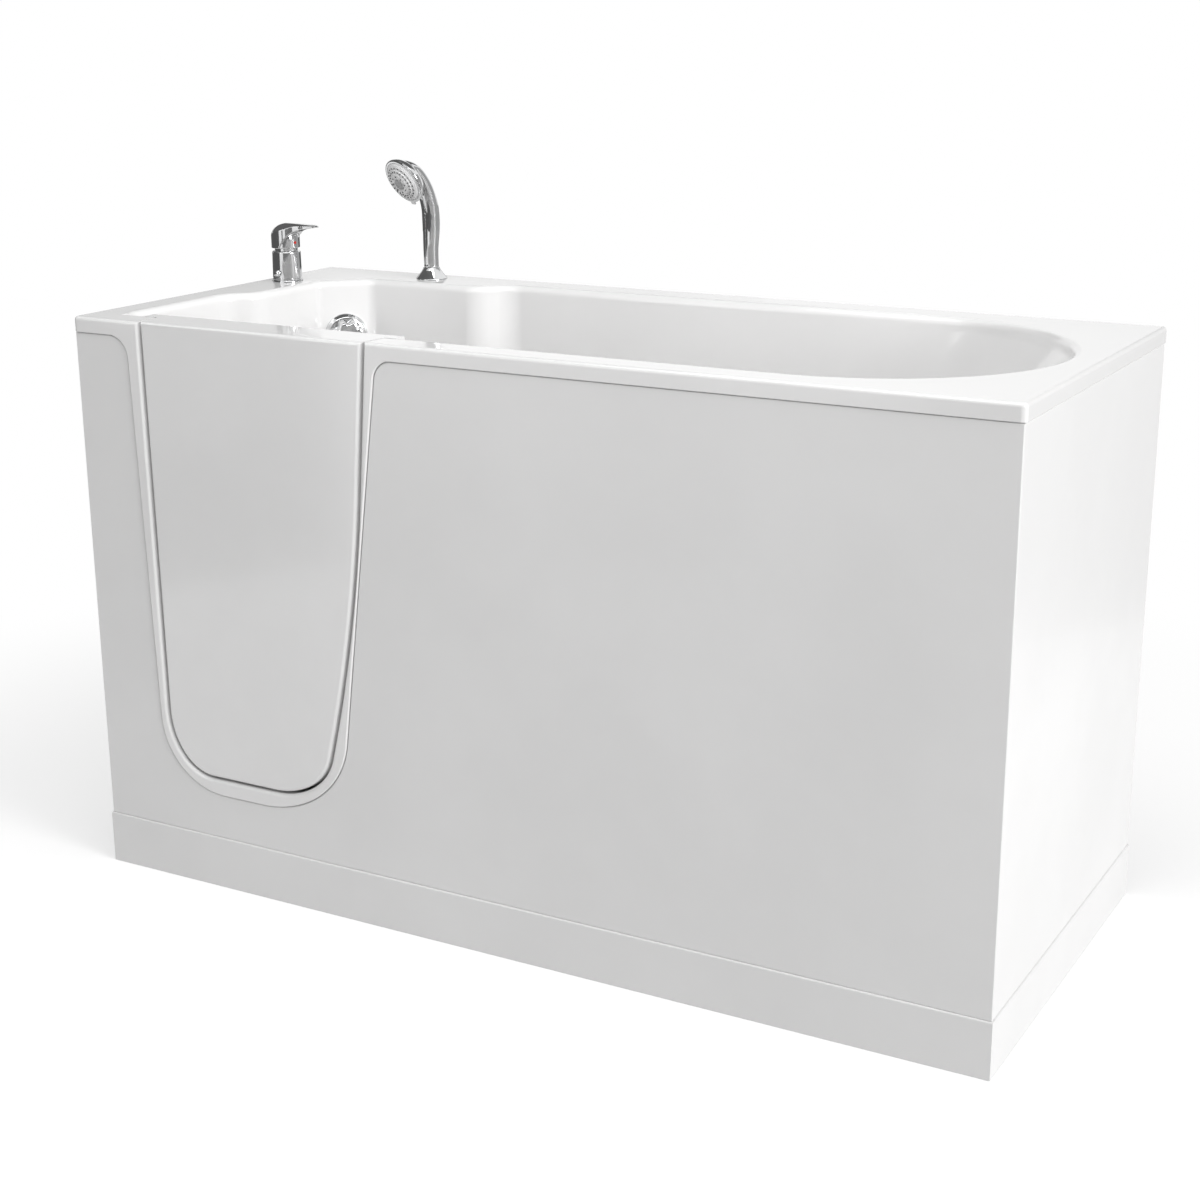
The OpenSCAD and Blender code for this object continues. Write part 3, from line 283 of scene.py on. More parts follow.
def settle(piece: Piece) -> Piece:
    """Turns a piece with its modifiers into a plain mesh."""
    bpy.context.view_layer.update()
    graph = bpy.context.evaluated_depsgraph_get()
    mesh = bpy.data.meshes.new_from_object(piece.evaluated_get(graph), preserve_all_data_layers=True,
                                           depsgraph=graph)
    piece.modifiers.clear()
    piece.data = mesh
    return piece


def join(body: Piece, tools: Iterable[Piece], how: str) -> Piece:
    """Adds tools to a body, or cuts them out of it.

    Args:
        body: The piece that stays.
        tools: The pieces that are used up.
        how: UNION or DIFFERENCE.

    Returns:
        The body.
    """
    for tool in tools:
        step = body.modifiers.new("join", "BOOLEAN")
        step.operation, step.object, step.solver = how, tool, "MANIFOLD"
        settle(body)
        bpy.data.objects.remove(tool)
    return body


def crisp(piece: Piece, degrees: float, weighted: bool = True) -> Piece:
    """Shades a piece smooth, with sharp edges only where its faces turn more than an angle."""
    piece.data.polygons.foreach_set("use_smooth", [True] * len(piece.data.polygons))
    piece.data.set_sharp_from_angle(angle=math.radians(degrees))
    if weighted:
        step = piece.modifiers.new("flats", "WEIGHTED_NORMAL")
        step.keep_sharp, step.weight = True, 80
        settle(piece)
    return piece


def eased(piece: Piece, width: float, degrees: float = 32, segments: int = 3) -> Piece:
    """Rounds a piece's edges.

    Args:
        piece: The piece.
        width: Size of the rounding, in millimetres.
        degrees: The least turn that counts as an edge.
        segments: Faces across the rounding.

    Returns:
        The piece as a plain mesh.
    """
    step = piece.modifiers.new("ease", "BEVEL")
    step.width, step.segments = width * MM, segments
    step.limit_method, step.angle_limit = "ANGLE", math.radians(degrees)
    step.use_clamp_overlap, step.miter_outer = True, "MITER_ARC"
    return crisp(settle(piece), degrees)


def cast(piece: Piece, voxel: float, rounds: int) -> Piece:
    """Melts overlapping forms into one soft-edged casting.

    Args:
        piece: A piece made of closed forms that overlap.
        voxel: Size of the new mesh's cells, in millimetres.
        rounds: How often the surface is smoothed.

    Returns:
        The piece as a plain mesh.
    """
    melt = piece.modifiers.new("melt", "REMESH")
    melt.mode, melt.voxel_size, melt.use_smooth_shade = "VOXEL", voxel * MM, True
    soft = piece.modifiers.new("soft", "SMOOTH")
    soft.factor, soft.iterations = 0.5, rounds
    settle(piece)
    piece.data.polygons.foreach_set("use_smooth", [True] * len(piece.data.polygons))
    return piece


# ---- finishes -----------------------------------------------------------------------------------


class Texture(Enum):
    """The kinds of fine surface that the tub's finishes have."""

    GLOSS = "moulded acrylic"
    SHEET = "panel sheet"
    PLATE = "bright plating"
    DRAWN = "drawn metal"
    PAINT = "powder coat"
    MOULD = "moulded plastic or rubber"
    GRAIN = "timber"


@dataclass(frozen=True)
class Finish:
    """One finish: its colour, its gloss and the fine surface on it, with sizes in millimetres."""

    slot: str
    texture: Texture
    colour: tuple[float, float, float]
    shade: tuple[float, float, float]
    roughness: float
    haze: float = 0.05
    metallic: float = 0.0
    coat: float = 0.0
    cell: float = 2.0
    relief: float = 0.02
    cloud: float = 180.0


FINISHES = {f.slot: f for f in (
    Finish("tub_acrylic", Texture.GLOSS, (0.85, 0.847, 0.845), (0.82, 0.817, 0.815), 0.13, 0.05, coat=0.35,
           cell=9.0, relief=0.03, cloud=260.0),
    Finish("panel_acrylic", Texture.SHEET, (0.81, 0.807, 0.805), (0.78, 0.777, 0.775), 0.34, 0.07, coat=0.12,
           cell=1.6, relief=0.05, cloud=320.0),
    Finish("frame_steel", Texture.PAINT, (0.32, 0.33, 0.34), (0.25, 0.26, 0.27), 0.46, 0.10, metallic=0.2,
           cell=0.9, relief=0.06, cloud=90.0),
    Finish("zinc_steel", Texture.DRAWN, (0.62, 0.63, 0.62), (0.50, 0.50, 0.46), 0.34, 0.14, metallic=1.0,
           cell=1.2, relief=0.02, cloud=24.0),
    Finish("stainless", Texture.DRAWN, (0.66, 0.66, 0.65), (0.56, 0.56, 0.55), 0.27, 0.08, metallic=1.0,
           cell=0.5, relief=0.012, cloud=40.0),
    Finish("chrome_brass", Texture.PLATE, (0.76, 0.765, 0.77), (0.68, 0.685, 0.69), 0.055, 0.05, metallic=1.0,
           cell=16.0, relief=0.012, cloud=34.0),
    Finish("brass", Texture.DRAWN, (0.73, 0.55, 0.27), (0.58, 0.41, 0.18), 0.30, 0.12, metallic=1.0,
           cell=0.7, relief=0.015, cloud=26.0),
    Finish("copper", Texture.DRAWN, (0.80, 0.44, 0.29), (0.55, 0.28, 0.18), 0.28, 0.14, metallic=1.0,
           cell=0.8, relief=0.01, cloud=30.0),
    Finish("white_plastic", Texture.MOULD, (0.80, 0.80, 0.79), (0.75, 0.75, 0.74), 0.36, 0.08,
           cell=0.7, relief=0.03, cloud=70.0),
    Finish("grey_plastic", Texture.MOULD, (0.86, 0.862, 0.865), (0.80, 0.802, 0.805), 0.32, 0.07,
           cell=0.6, relief=0.02, cloud=40.0),
    Finish("dark_rubber", Texture.MOULD, (0.060, 0.060, 0.062), (0.085, 0.085, 0.086), 0.58, 0.12,
           cell=0.8, relief=0.04, cloud=30.0),
    Finish("seal_rubber", Texture.MOULD, (0.42, 0.422, 0.425), (0.36, 0.362, 0.365), 0.55, 0.10,
           cell=0.9, relief=0.04, cloud=60.0),
    Finish("timber", Texture.GRAIN, (0.60, 0.43, 0.25), (0.40, 0.26, 0.13), 0.62, 0.10,
           cell=3.5, relief=0.12, cloud=14.0),
    Finish("red_enamel", Texture.GLOSS, (0.62, 0.03, 0.02), (0.50, 0.02, 0.015), 0.16, 0.05, coat=0.5,
           cell=1.0, relief=0.01, cloud=4.0),
)}


class Nodes:
    """A node tree while it is built, for shaders and for geometry alike."""

    def __init__(self, tree: Tree) -> None:
        """Starts on a tree."""
        self.tree = tree

    def node(self, kind: str, inputs: Optional[dict] = None, **settings: object) -> Node:
        """Adds a node, with some of its inputs linked or set.

        Args:
            kind: The node's type.
            inputs: A socket of another node, or a value, for each input by name or number.
            settings: The node's own properties.

        Returns:
            The node.
        """
        made = self.tree.nodes.new(kind)
        for name, value in settings.items():
            setattr(made, name, value)
        return self.fill(made, inputs or {})

    def fill(self, node: Node, inputs: dict) -> Node:
        """Links or sets some of a node's inputs, each by its name or number."""
        for key, value in inputs.items():
            if isinstance(value, Socket):
                self.tree.links.new(value, node.inputs[key])
            else:
                node.inputs[key].default_value = value
        return node

    def math(self, how: str, a: object, b: object = 0.0, c: object = 0.0) -> Socket:
        """Adds a sum of two or three numbers."""
        return self.node("ShaderNodeMath", {0: a, 1: b, 2: c}, operation=how).outputs[0]

    def noise(self, place: Socket, scale: Socket, detail: float, roughness: float = 0.5) -> Socket:
        """Adds a soft noise."""
        return self.node("ShaderNodeTexNoise", {
            "Vector": place, "Scale": scale, "Detail": detail, "Roughness": roughness}).outputs["Fac"]

    def ramp(self, value: Socket, low: float, high: float, start: float = 0.0, end: float = 1.0,
             kind: str = "SMOOTHSTEP") -> Socket:
        """Maps the numbers from low to high onto those from start to end."""
        return self.node("ShaderNodeMapRange", {
            "Value": value, "From Min": low, "From Max": high, "To Min": start, "To Max": end},
            interpolation_type=kind).outputs[0]

    def stretched(self, place: Socket, scales: Sequence[float]) -> Socket:
        """A place with each of its axes scaled."""
        return self.node("ShaderNodeVectorMath", {0: place, 1: scales}, operation="MULTIPLY").outputs[0]

    def blend(self, share: Socket, first: Node, second: Node) -> Node:
        """Mixes two shaders, with a share of the second."""
        return self.node("ShaderNodeMixShader", {0: share, 1: first.outputs[0], 2: second.outputs[0]})

    def seen(self) -> tuple[Socket, Socket]:
        """Whether the camera sees a point, straight or through glass, and whether a reflection does."""
        ray = self.node("ShaderNodeLightPath")
        return (self.math("MAXIMUM", ray.outputs["Is Camera Ray"], ray.outputs["Is Transmission Ray"]),
                ray.outputs["Is Glossy Ray"])


def new_material(name: str) -> tuple[Material, Nodes, Node, Node]:
    """A new material with its tree, its Principled shader and its output."""
    material = bpy.data.materials.new(name)
    material.use_nodes = True
    nodes = material.node_tree.nodes
    return material, Nodes(material.node_tree), nodes["Principled BSDF"], nodes["Material Output"]


def group(name: str, sizes: Sequence[str], outputs: Sequence[str]) -> tuple[Nodes, dict[str, Socket], Node]:
    """Starts a shader node group that works from a place.

    Args:
        name: The group's name.
        sizes: The names of its inputs, all of them numbers, besides the place.
        outputs: The names of its outputs, all of them numbers.

    Returns:
        The tree, its input sockets by name, and its output node.
    """
    tree = bpy.data.node_groups.new(name, "ShaderNodeTree")
    tree.interface.new_socket("Vector", in_out="INPUT", socket_type="NodeSocketVector")
    for way, keys in (("INPUT", sizes), ("OUTPUT", outputs)):
        for key in keys:
            tree.interface.new_socket(key, in_out=way, socket_type="NodeSocketFloat")
    nodes = Nodes(tree)
    start = nodes.node("NodeGroupInput")
    return nodes, {key: start.outputs[key] for key in ("Vector", *sizes)}, nodes.node("NodeGroupOutput")


class Palette:
    """Makes each finish's material once, from a few shared groups."""

    drop_share = 0.12
    mark_share = 0.8
    bump = 0.5
    coat_roughness = 0.06

    def __init__(self) -> None:
        """Builds the shared groups."""
        self.made: dict[str, Material] = {}
        self.clouds = self._clouds()
        ripple, stipple = self._height("faint_ripple", self._ripple), self._height("fine_stipple", self._stipple)
        self.skins = {
            Texture.GLOSS: ripple, Texture.PLATE: ripple, Texture.SHEET: stipple, Texture.PAINT: stipple,
            Texture.MOULD: stipple, Texture.DRAWN: self._height("drawn_lines", self._lines),
            Texture.GRAIN: self._height("timber_rings", self._rings),
        }

    @staticmethod
    def _clouds() -> Tree:
        """Broad soft patches and faint dried drops, for colour and gloss."""
        tree, at, out = group("soft_patches", ("Size", "Drop"), ("Patch", "Marks"))
        place = at["Vector"]
        broad = tree.noise(place, tree.math("DIVIDE", 1.0, at["Size"]), 4.0, 0.55)
        cells = tree.node("ShaderNodeTexVoronoi", {
            "Vector": place, "Scale": tree.math("DIVIDE", 1.0, at["Drop"])}, feature="F1")
        drop = tree.ramp(cells.outputs["Distance"], 0.20, 0.34, 1.0, 0.0)
        fine = tree.noise(place, tree.math("DIVIDE", 2.2, at["Size"]), 2.0)
        tree.fill(out, {"Patch": tree.ramp(broad, 0.3, 0.7),
                        "Marks": tree.math("MULTIPLY", drop, tree.ramp(fine, 0.55, 0.7, kind="LINEAR"))})
        return tree.tree

    @staticmethod
    def _height(name: str, surface: Callable[[Nodes, Socket, Socket], Socket]) -> Tree:
        """A group that gives a surface's height at a place, for a size of cell."""
        tree, at, out = group(name, ("Cell",), ("Height",))
        tree.fill(out, {"Height": surface(tree, at["Vector"], tree.math("DIVIDE", 1.0, at["Cell"]))})
        return tree.tree

    @staticmethod
    def _ripple(tree: Nodes, place: Socket, scale: Socket) -> Socket:
        """The faint waviness of a moulded or plated surface."""
        return tree.noise(place, scale, 1.0, 0.4)

    @staticmethod
    def _stipple(tree: Nodes, place: Socket, scale: Socket) -> Socket:
        """Fine pebbling, as on sheet, paint and moulded plastic."""
        cells = tree.node("ShaderNodeTexVoronoi", {"Vector": place, "Scale": scale}, feature="SMOOTH_F1")
        return tree.math("ADD", tree.math("MULTIPLY", cells.outputs["Distance"], 0.6),
                         tree.math("MULTIPLY", tree.noise(place, scale, 3.0), 0.5))

    @staticmethod
    def _lines(tree: Nodes, place: Socket, scale: Socket) -> Socket:
        """Short fine lines round and along drawn or turned metal."""
        return tree.noise(tree.stretched(place, (0.15, 0.15, 1.0)), scale, 5.0, 0.7)

    @staticmethod
    def _rings(tree: Nodes, place: Socket, scale: Socket) -> Socket:
        """Growth rings and pores of planed timber, running upright."""
        return tree.node("ShaderNodeTexWave", {
            "Vector": tree.stretched(place, (1.0, 1.0, 0.06)), "Scale": tree.math("MULTIPLY", 0.3, scale),
            "Distortion": 3.0, "Detail": 3.0, "Detail Scale": 1.6}).outputs["Fac"]

    def material(self, slot: str) -> Material:
        """The material of one slot."""
        if slot not in self.made:
            self.made[slot] = self._build(FINISHES[slot])
        return self.made[slot]

    def _build(self, finish: Finish) -> Material:
        """Builds one finish's material."""
        material, tree, shader, _ = new_material(finish.slot + "_finish")
        place = tree.node("ShaderNodeTexCoord").outputs["Object"]
        size = finish.cloud * MM
        patches = tree.node("ShaderNodeGroup", {"Vector": place, "Size": size, "Drop": size * self.drop_share},
                            node_tree=self.clouds).outputs
        height = tree.node("ShaderNodeGroup", {"Vector": place, "Cell": finish.cell * MM},
                           node_tree=self.skins[finish.texture]).outputs["Height"]
        tone = tree.node("ShaderNodeMix", {
            "Factor": height if finish.texture is Texture.GRAIN else patches["Patch"],
            "A": (*finish.colour, 1), "B": (*finish.shade, 1)}, data_type="RGBA")
        gloss = tree.math("MULTIPLY_ADD", patches["Patch"], finish.haze, finish.roughness)
        worn = tree.math("MULTIPLY_ADD", patches["Marks"], finish.haze * self.mark_share, gloss)
        bump = tree.node("ShaderNodeBump", {
            "Height": height, "Strength": self.bump, "Distance": finish.relief * MM})
        tree.fill(shader, {
            "Base Color": tone.outputs["Result"], "Metallic": finish.metallic, "Roughness": worn,
            "Coat Weight": finish.coat, "Coat Roughness": self.coat_roughness, "Normal": bump.outputs["Normal"]})
        return material


# ---- shared work --------------------------------------------------------------------------------


class Workshop:
    """Dresses pieces, joins them to their bodies, and keeps count of what is replaced."""

    def __init__(self) -> None:
        """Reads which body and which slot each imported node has."""
        bodies = frame["record"]["behaviour"]["bodies"]
        self.body_of = {node: body for body, nodes in bodies.items() for node in nodes}
        self.slot_of = {name: piece.data.materials[0].name.split(".")[0]
                        for name, piece in frame["nodes"].items()}
        self.palette = Palette()
        self.replaced: set[str] = set()

    def dress(self, piece: Piece, node: str, slot: Optional[str] = None) -> None:
        """Gives a piece its finish and its body.

        Args:
            piece: The finished piece.
            node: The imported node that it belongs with, and stands for unless it has a finish of its own.
            slot: Its finish, where that isn't the node's.
        """
        finish = slot or self.slot_of[node]
        piece.data.materials.clear()
        piece.data.materials.append(self.palette.material(finish))
        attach(piece, self.body_of[node])
        if slot is None:
            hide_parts(node)
            self.replaced.add(node)
        log.info("%s: %d faces, for %s", piece.name, len(piece.data.polygons), node)

    def lathe(self, name: str, node: str, profile: Sequence[Point], place: np.ndarray, sides: int = 96,
              degrees: float = 35, slot: Optional[str] = None) -> None:
        """Makes and dresses a turned piece.

        Args:
            name: The piece's name.
            node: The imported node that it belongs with.
            profile: Radius and height of each point of its section.
            place: The frame that it stands in.
            sides: How many points go round.
            degrees: The least turn that stays a sharp edge.
            slot: Its finish, where that isn't the node's.
        """
        self.dress(crisp(Skin().lathe(profile, sides).moved(place).piece(name), degrees), node, slot)

    def refine(self, width: float, *nodes: str, degrees: float = 35) -> None:
        """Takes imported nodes' places with copies whose edges are eased.

        Args:
            width: Size of the easing, in millimetres.
            nodes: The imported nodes.
            degrees: The least turn that counts as an edge.
        """
        for node in nodes:
            mesh = frame["nodes"][node].data.copy()
            bm = bmesh.new()
            bm.from_mesh(mesh)
            bmesh.ops.remove_doubles(bm, verts=bm.verts, dist=2e-6)
            bmesh.ops.dissolve_limit(bm, angle_limit=math.radians(0.4), verts=bm.verts, edges=bm.edges)
            bm.to_mesh(mesh)
            bm.free()
            self.dress(eased(link(node + "_eased", mesh), width, degrees, 2), node)

    def finish_rest(self) -> None:
        """Gives every node that still shows its finish."""
        for name, piece in frame["nodes"].items():
            if name not in self.replaced:
                for i in range(len(piece.data.materials)):
                    piece.data.materials[i] = self.palette.material(self.slot_of[name])
                log.info("%s: packed shape kept", name)


# ---- trees for what repeats or follows a path ---------------------------------------------------


class Recipe:
    """A geometry node tree with named inputs, run once on a piece and then taken off."""

    def __init__(self, name: str, inputs: dict[str, float]) -> None:
        """Makes the tree's sockets.

        Args:
            name: The tree's name.
            inputs: Each size's name and value, in millimetres.
        """
        self.tree = bpy.data.node_groups.new(name, "GeometryNodeTree")
        self.tree.interface.new_socket("Geometry", in_out="INPUT", socket_type="NodeSocketGeometry")
        self.keys = {}
        for key in inputs:
            socket = self.tree.interface.new_socket(key, in_out="INPUT", socket_type="NodeSocketFloat")
            self.keys[key] = socket.identifier
        finish = self.tree.interface.new_socket("Finish", in_out="INPUT", socket_type="NodeSocketMaterial")
        self.finish_key = finish.identifier
        self.tree.interface.new_socket("Geometry", in_out="OUTPUT", socket_type="NodeSocketGeometry")
        self.nodes = Nodes(self.tree)
        self.start = self.nodes.node("NodeGroupInput")
        self.values = inputs

    def size(self, key: str, times: float = 1.0) -> Socket:
        """One of the tree's sizes, times a number."""
        return self.nodes.math("MULTIPLY", self.start.outputs[key], times)

    def end(self, instance: Socket) -> "Recipe":
        """Closes the tree: a copy on each point, made real, shaded smooth and given its material."""
        placed = self.nodes.node("GeometryNodeInstanceOnPoints", {
            "Points": self.start.outputs["Geometry"], "Instance": instance})
        real = self.nodes.node("GeometryNodeRealizeInstances", {"Geometry": placed.outputs[0]})
        smooth = self.nodes.node("GeometryNodeSetShadeSmooth", {0: real.outputs[0], "Shade Smooth": True})
        painted = self.nodes.node("GeometryNodeSetMaterial", {
            "Geometry": smooth.outputs[0], "Material": self.start.outputs["Finish"]})
        self.nodes.node("NodeGroupOutput", {"Geometry": painted.outputs[0]})
        return self

    def run(self, piece: Piece, material: Material,
            **values: float) -> Piece:
        """Runs the tree on a piece.

        Args:
            piece: The points.
            material: The finish.
            values: Sizes that differ from the tree's own.

        Returns:
            The piece as a plain mesh.
        """
        step = piece.modifiers.new(self.tree.name, "NODES")
        step.node_group = self.tree
        for key, start in self.values.items():
            step[self.keys[key]] = float(values.get(key, start))
        step[self.finish_key] = material
        settle(piece)
        return crisp(piece, 40, weighted=False)


def marks(name: str, points: Sequence[Sequence[float]]) -> Piece:
    """Loose points for a tree to work on."""
    mesh = bpy.data.meshes.new(name)
    places = (np.array(points, float) - [TUB_LENGTH / 2, TUB_WIDTH / 2, 0]) * MM
    mesh.from_pydata(places.tolist(), [], [])
    return link(name, mesh)


def screw_recipe() -> Recipe:
    """Countersunk screw heads with a cross recess, one at each point, their faces towards +y."""
    recipe = Recipe("cross_screws", {"Head": 4.5, "Face": 3.0, "Height": 2.0, "Slot": 1.0})
    n = recipe.nodes
    head = n.node("GeometryNodeMeshCone", {
        "Vertices": 32, "Side Segments": 3, "Fill Segments": 2, "Radius Top": recipe.size("Face", MM),
        "Radius Bottom": recipe.size("Head", MM), "Depth": recipe.size("Height", MM)})
    cut = n.node("GeometryNodeMeshBoolean", {"Mesh 1": head.outputs["Mesh"]}, operation="DIFFERENCE")
    up = n.node("ShaderNodeCombineXYZ", {"Z": recipe.size("Height", MM * 1.1)})
    shares = {"Face": 1.25, "Slot": 0.9}
    for long, wide in (("Face", "Slot"), ("Slot", "Face")):
        size = n.node("ShaderNodeCombineXYZ", {
            "X": recipe.size(long, MM * shares[long]), "Y": recipe.size(wide, MM * shares[wide]),
            "Z": recipe.size("Height", MM)})
        bar = n.node("GeometryNodeMeshCube", {"Size": size.outputs[0]})
        cutter = n.node("GeometryNodeTransform", {
            "Geometry": bar.outputs["Mesh"], "Translation": up.outputs[0]})
        n.fill(cut, {"Mesh 2": cutter.outputs[0]})
    laid = n.node("GeometryNodeTransform", {"Geometry": cut.outputs["Mesh"], "Rotation": (-math.pi / 2, 0, 0)})
    return recipe.end(laid.outputs[0])


def thread_recipe() -> Recipe:
    """A threaded rod standing on each point."""
    recipe = Recipe("threaded_rods", {"Radius": 6.0, "Length": 90.0, "Pitch": 1.75})
    n = recipe.nodes
    turns = n.math("DIVIDE", recipe.start.outputs["Length"], recipe.start.outputs["Pitch"])
    helix = n.node("GeometryNodeCurveSpiral", {
        "Resolution": 18, "Rotations": turns, "Start Radius": recipe.size("Radius", MM * 0.93),
        "End Radius": recipe.size("Radius", MM * 0.93), "Height": recipe.size("Length", MM)})
    ridge = n.node("GeometryNodeCurvePrimitiveCircle", {
        "Resolution": 5, "Radius": recipe.size("Radius", MM * 0.07)})
    thread = n.node("GeometryNodeCurveToMesh", {
        "Curve": helix.outputs[0], "Profile Curve": ridge.outputs[0], "Fill Caps": True})
    core = n.node("GeometryNodeMeshCylinder", {
        "Vertices": 28, "Radius": recipe.size("Radius", MM * 0.94), "Depth": recipe.size("Length", MM)})
    lift = n.node("ShaderNodeCombineXYZ", {"Z": recipe.size("Length", MM / 2)})
    raised = n.node("GeometryNodeTransform", {"Geometry": core.outputs["Mesh"], "Translation": lift.outputs[0]})
    both = n.node("GeometryNodeJoinGeometry")
    for part in (thread, raised):
        n.fill(both, {0: part.outputs[0]})
    return recipe.end(both.outputs[0])


def nozzle_recipe(turn: Matrix, rows: Sequence[tuple[float, int, float]]) -> Recipe:
    """Rings of soft nozzles round the middle of the spray face.

    Args:
        turn: How the face stands, so that each nozzle points out of it.
        rows: Each ring's radius, count and height from the face's crown.

    Returns:
        The tree, run on one point at the crown of the face.
    """
    recipe = Recipe("spray_nozzles", {"Foot": 1.2, "Tip": 0.9, "Rise": 1.2})
    n = recipe.nodes
    foot = n.node("GeometryNodeMeshCone", {
        "Vertices": 14, "Side Segments": 2, "Radius Top": recipe.size("Tip", MM),
        "Radius Bottom": recipe.size("Foot", MM), "Depth": recipe.size("Rise", MM)})
    rings = n.node("GeometryNodeJoinGeometry")
    for radius, count, height in rows:
        circle = n.node("GeometryNodeMeshCircle", {"Vertices": count, "Radius": radius * MM})
        placed = n.node("GeometryNodeInstanceOnPoints", {
            "Points": circle.outputs[0], "Instance": foot.outputs["Mesh"]})
        stood = n.node("GeometryNodeTransform", {
            "Geometry": placed.outputs[0], "Translation": (0.0, 0.0, height * MM)})
        n.fill(rings, {0: stood.outputs[0]})
    laid = n.node("GeometryNodeTransform", {"Geometry": rings.outputs[0], "Rotation": tuple(turn.to_euler())})
    real = n.node("GeometryNodeRealizeInstances", {"Geometry": laid.outputs[0]})
    return recipe.end(real.outputs[0])


# ---- the tub's shell ----------------------------------------------------------------------------


@dataclass
class Doorway:
    """The door's outlines on the tub's front, which the shell and the door share."""

    left: float = 132.0
    lean: float = 8.0
    sill: float = 187.0
    foot: float = 432.0
    waist: float = 505.0
    waist_z: float = 480.0
    right: float = 537.0
    gap: float = 4.0
    flare: float = 5.0
    reach: float = 24.0
    flange_left: float = 100.0
    jamb: float = 45.0
    recess_gap: float = 5.0
    left_rim: float = 57.0

    def door(self) -> list[Corner]:
        """The door's own outline."""
        return [
            (self.left + self.lean, self.sill, 100, 80), (self.foot, self.sill, 92, 75),
            (self.waist, self.waist_z, 200, 200), (self.right, RIM, 0, 0), (self.left, RIM, 0, 0),
        ]

    def with_left(self, corners: list[Corner], x: float) -> list[Corner]:
        """An outline whose left side stands upright at x."""
        return [(x if i in (0, 4) else c[0], *c[1:]) for i, c in enumerate(corners)]

    def flange(self) -> list[Corner]:
        """The outline of the door's inner flange."""
        return self.with_left(under_rim(self.door(), self.reach), self.flange_left)

    def recess(self) -> list[Corner]:
        """The outline of the recess that the flange stands in."""
        return self.with_left(grown(self.flange(), self.recess_gap), self.left_rim)


@dataclass
class Notch:
    """The front panel's outline, with the notch that shows the shell's frame round the door."""

    setback: float = 2.0
    foot: float = 85.0
    top: float = 875.0
    left: float = 102.0
    lean: float = 22.0
    low: float = 157.0
    right: float = 559.0
    heel: float = 466.0
    gap: float = 1.2
    band_drop: float = 12.0

    def panel(self) -> list[Corner]:
        """The panel's outline."""
        end = TUB_LENGTH - self.setback
        return [
            (self.setback, self.foot, 0, 0), (end, self.foot, 0, 0), (end, self.top, 0, 0),
            (self.right, self.top, 26, 26), (self.heel, self.low, 130, 150),
            (self.left + self.lean, self.low, 117, 115), (self.left, self.top, 33, 33),
            (self.setback, self.top, 0, 0),
        ]

    def band(self, inset: float, y: float, steps: int = 20) -> Ring:
        """The outline of the shell's frame inside the notch, at a depth."""
        corners = grown(self.panel(), self.gap + inset)
        points = [p for i in (3, 4, 5, 6) for p in arc(corners[i - 1], corners[i], corners[i + 1], steps)]
        points += [np.array([points[end][0], RIM - self.band_drop]) for end in (-1, 0)]
        flat = np.array(points)[::-1]
        return np.column_stack([flat[:, 0], np.full(len(flat), y), flat[:, 1]])


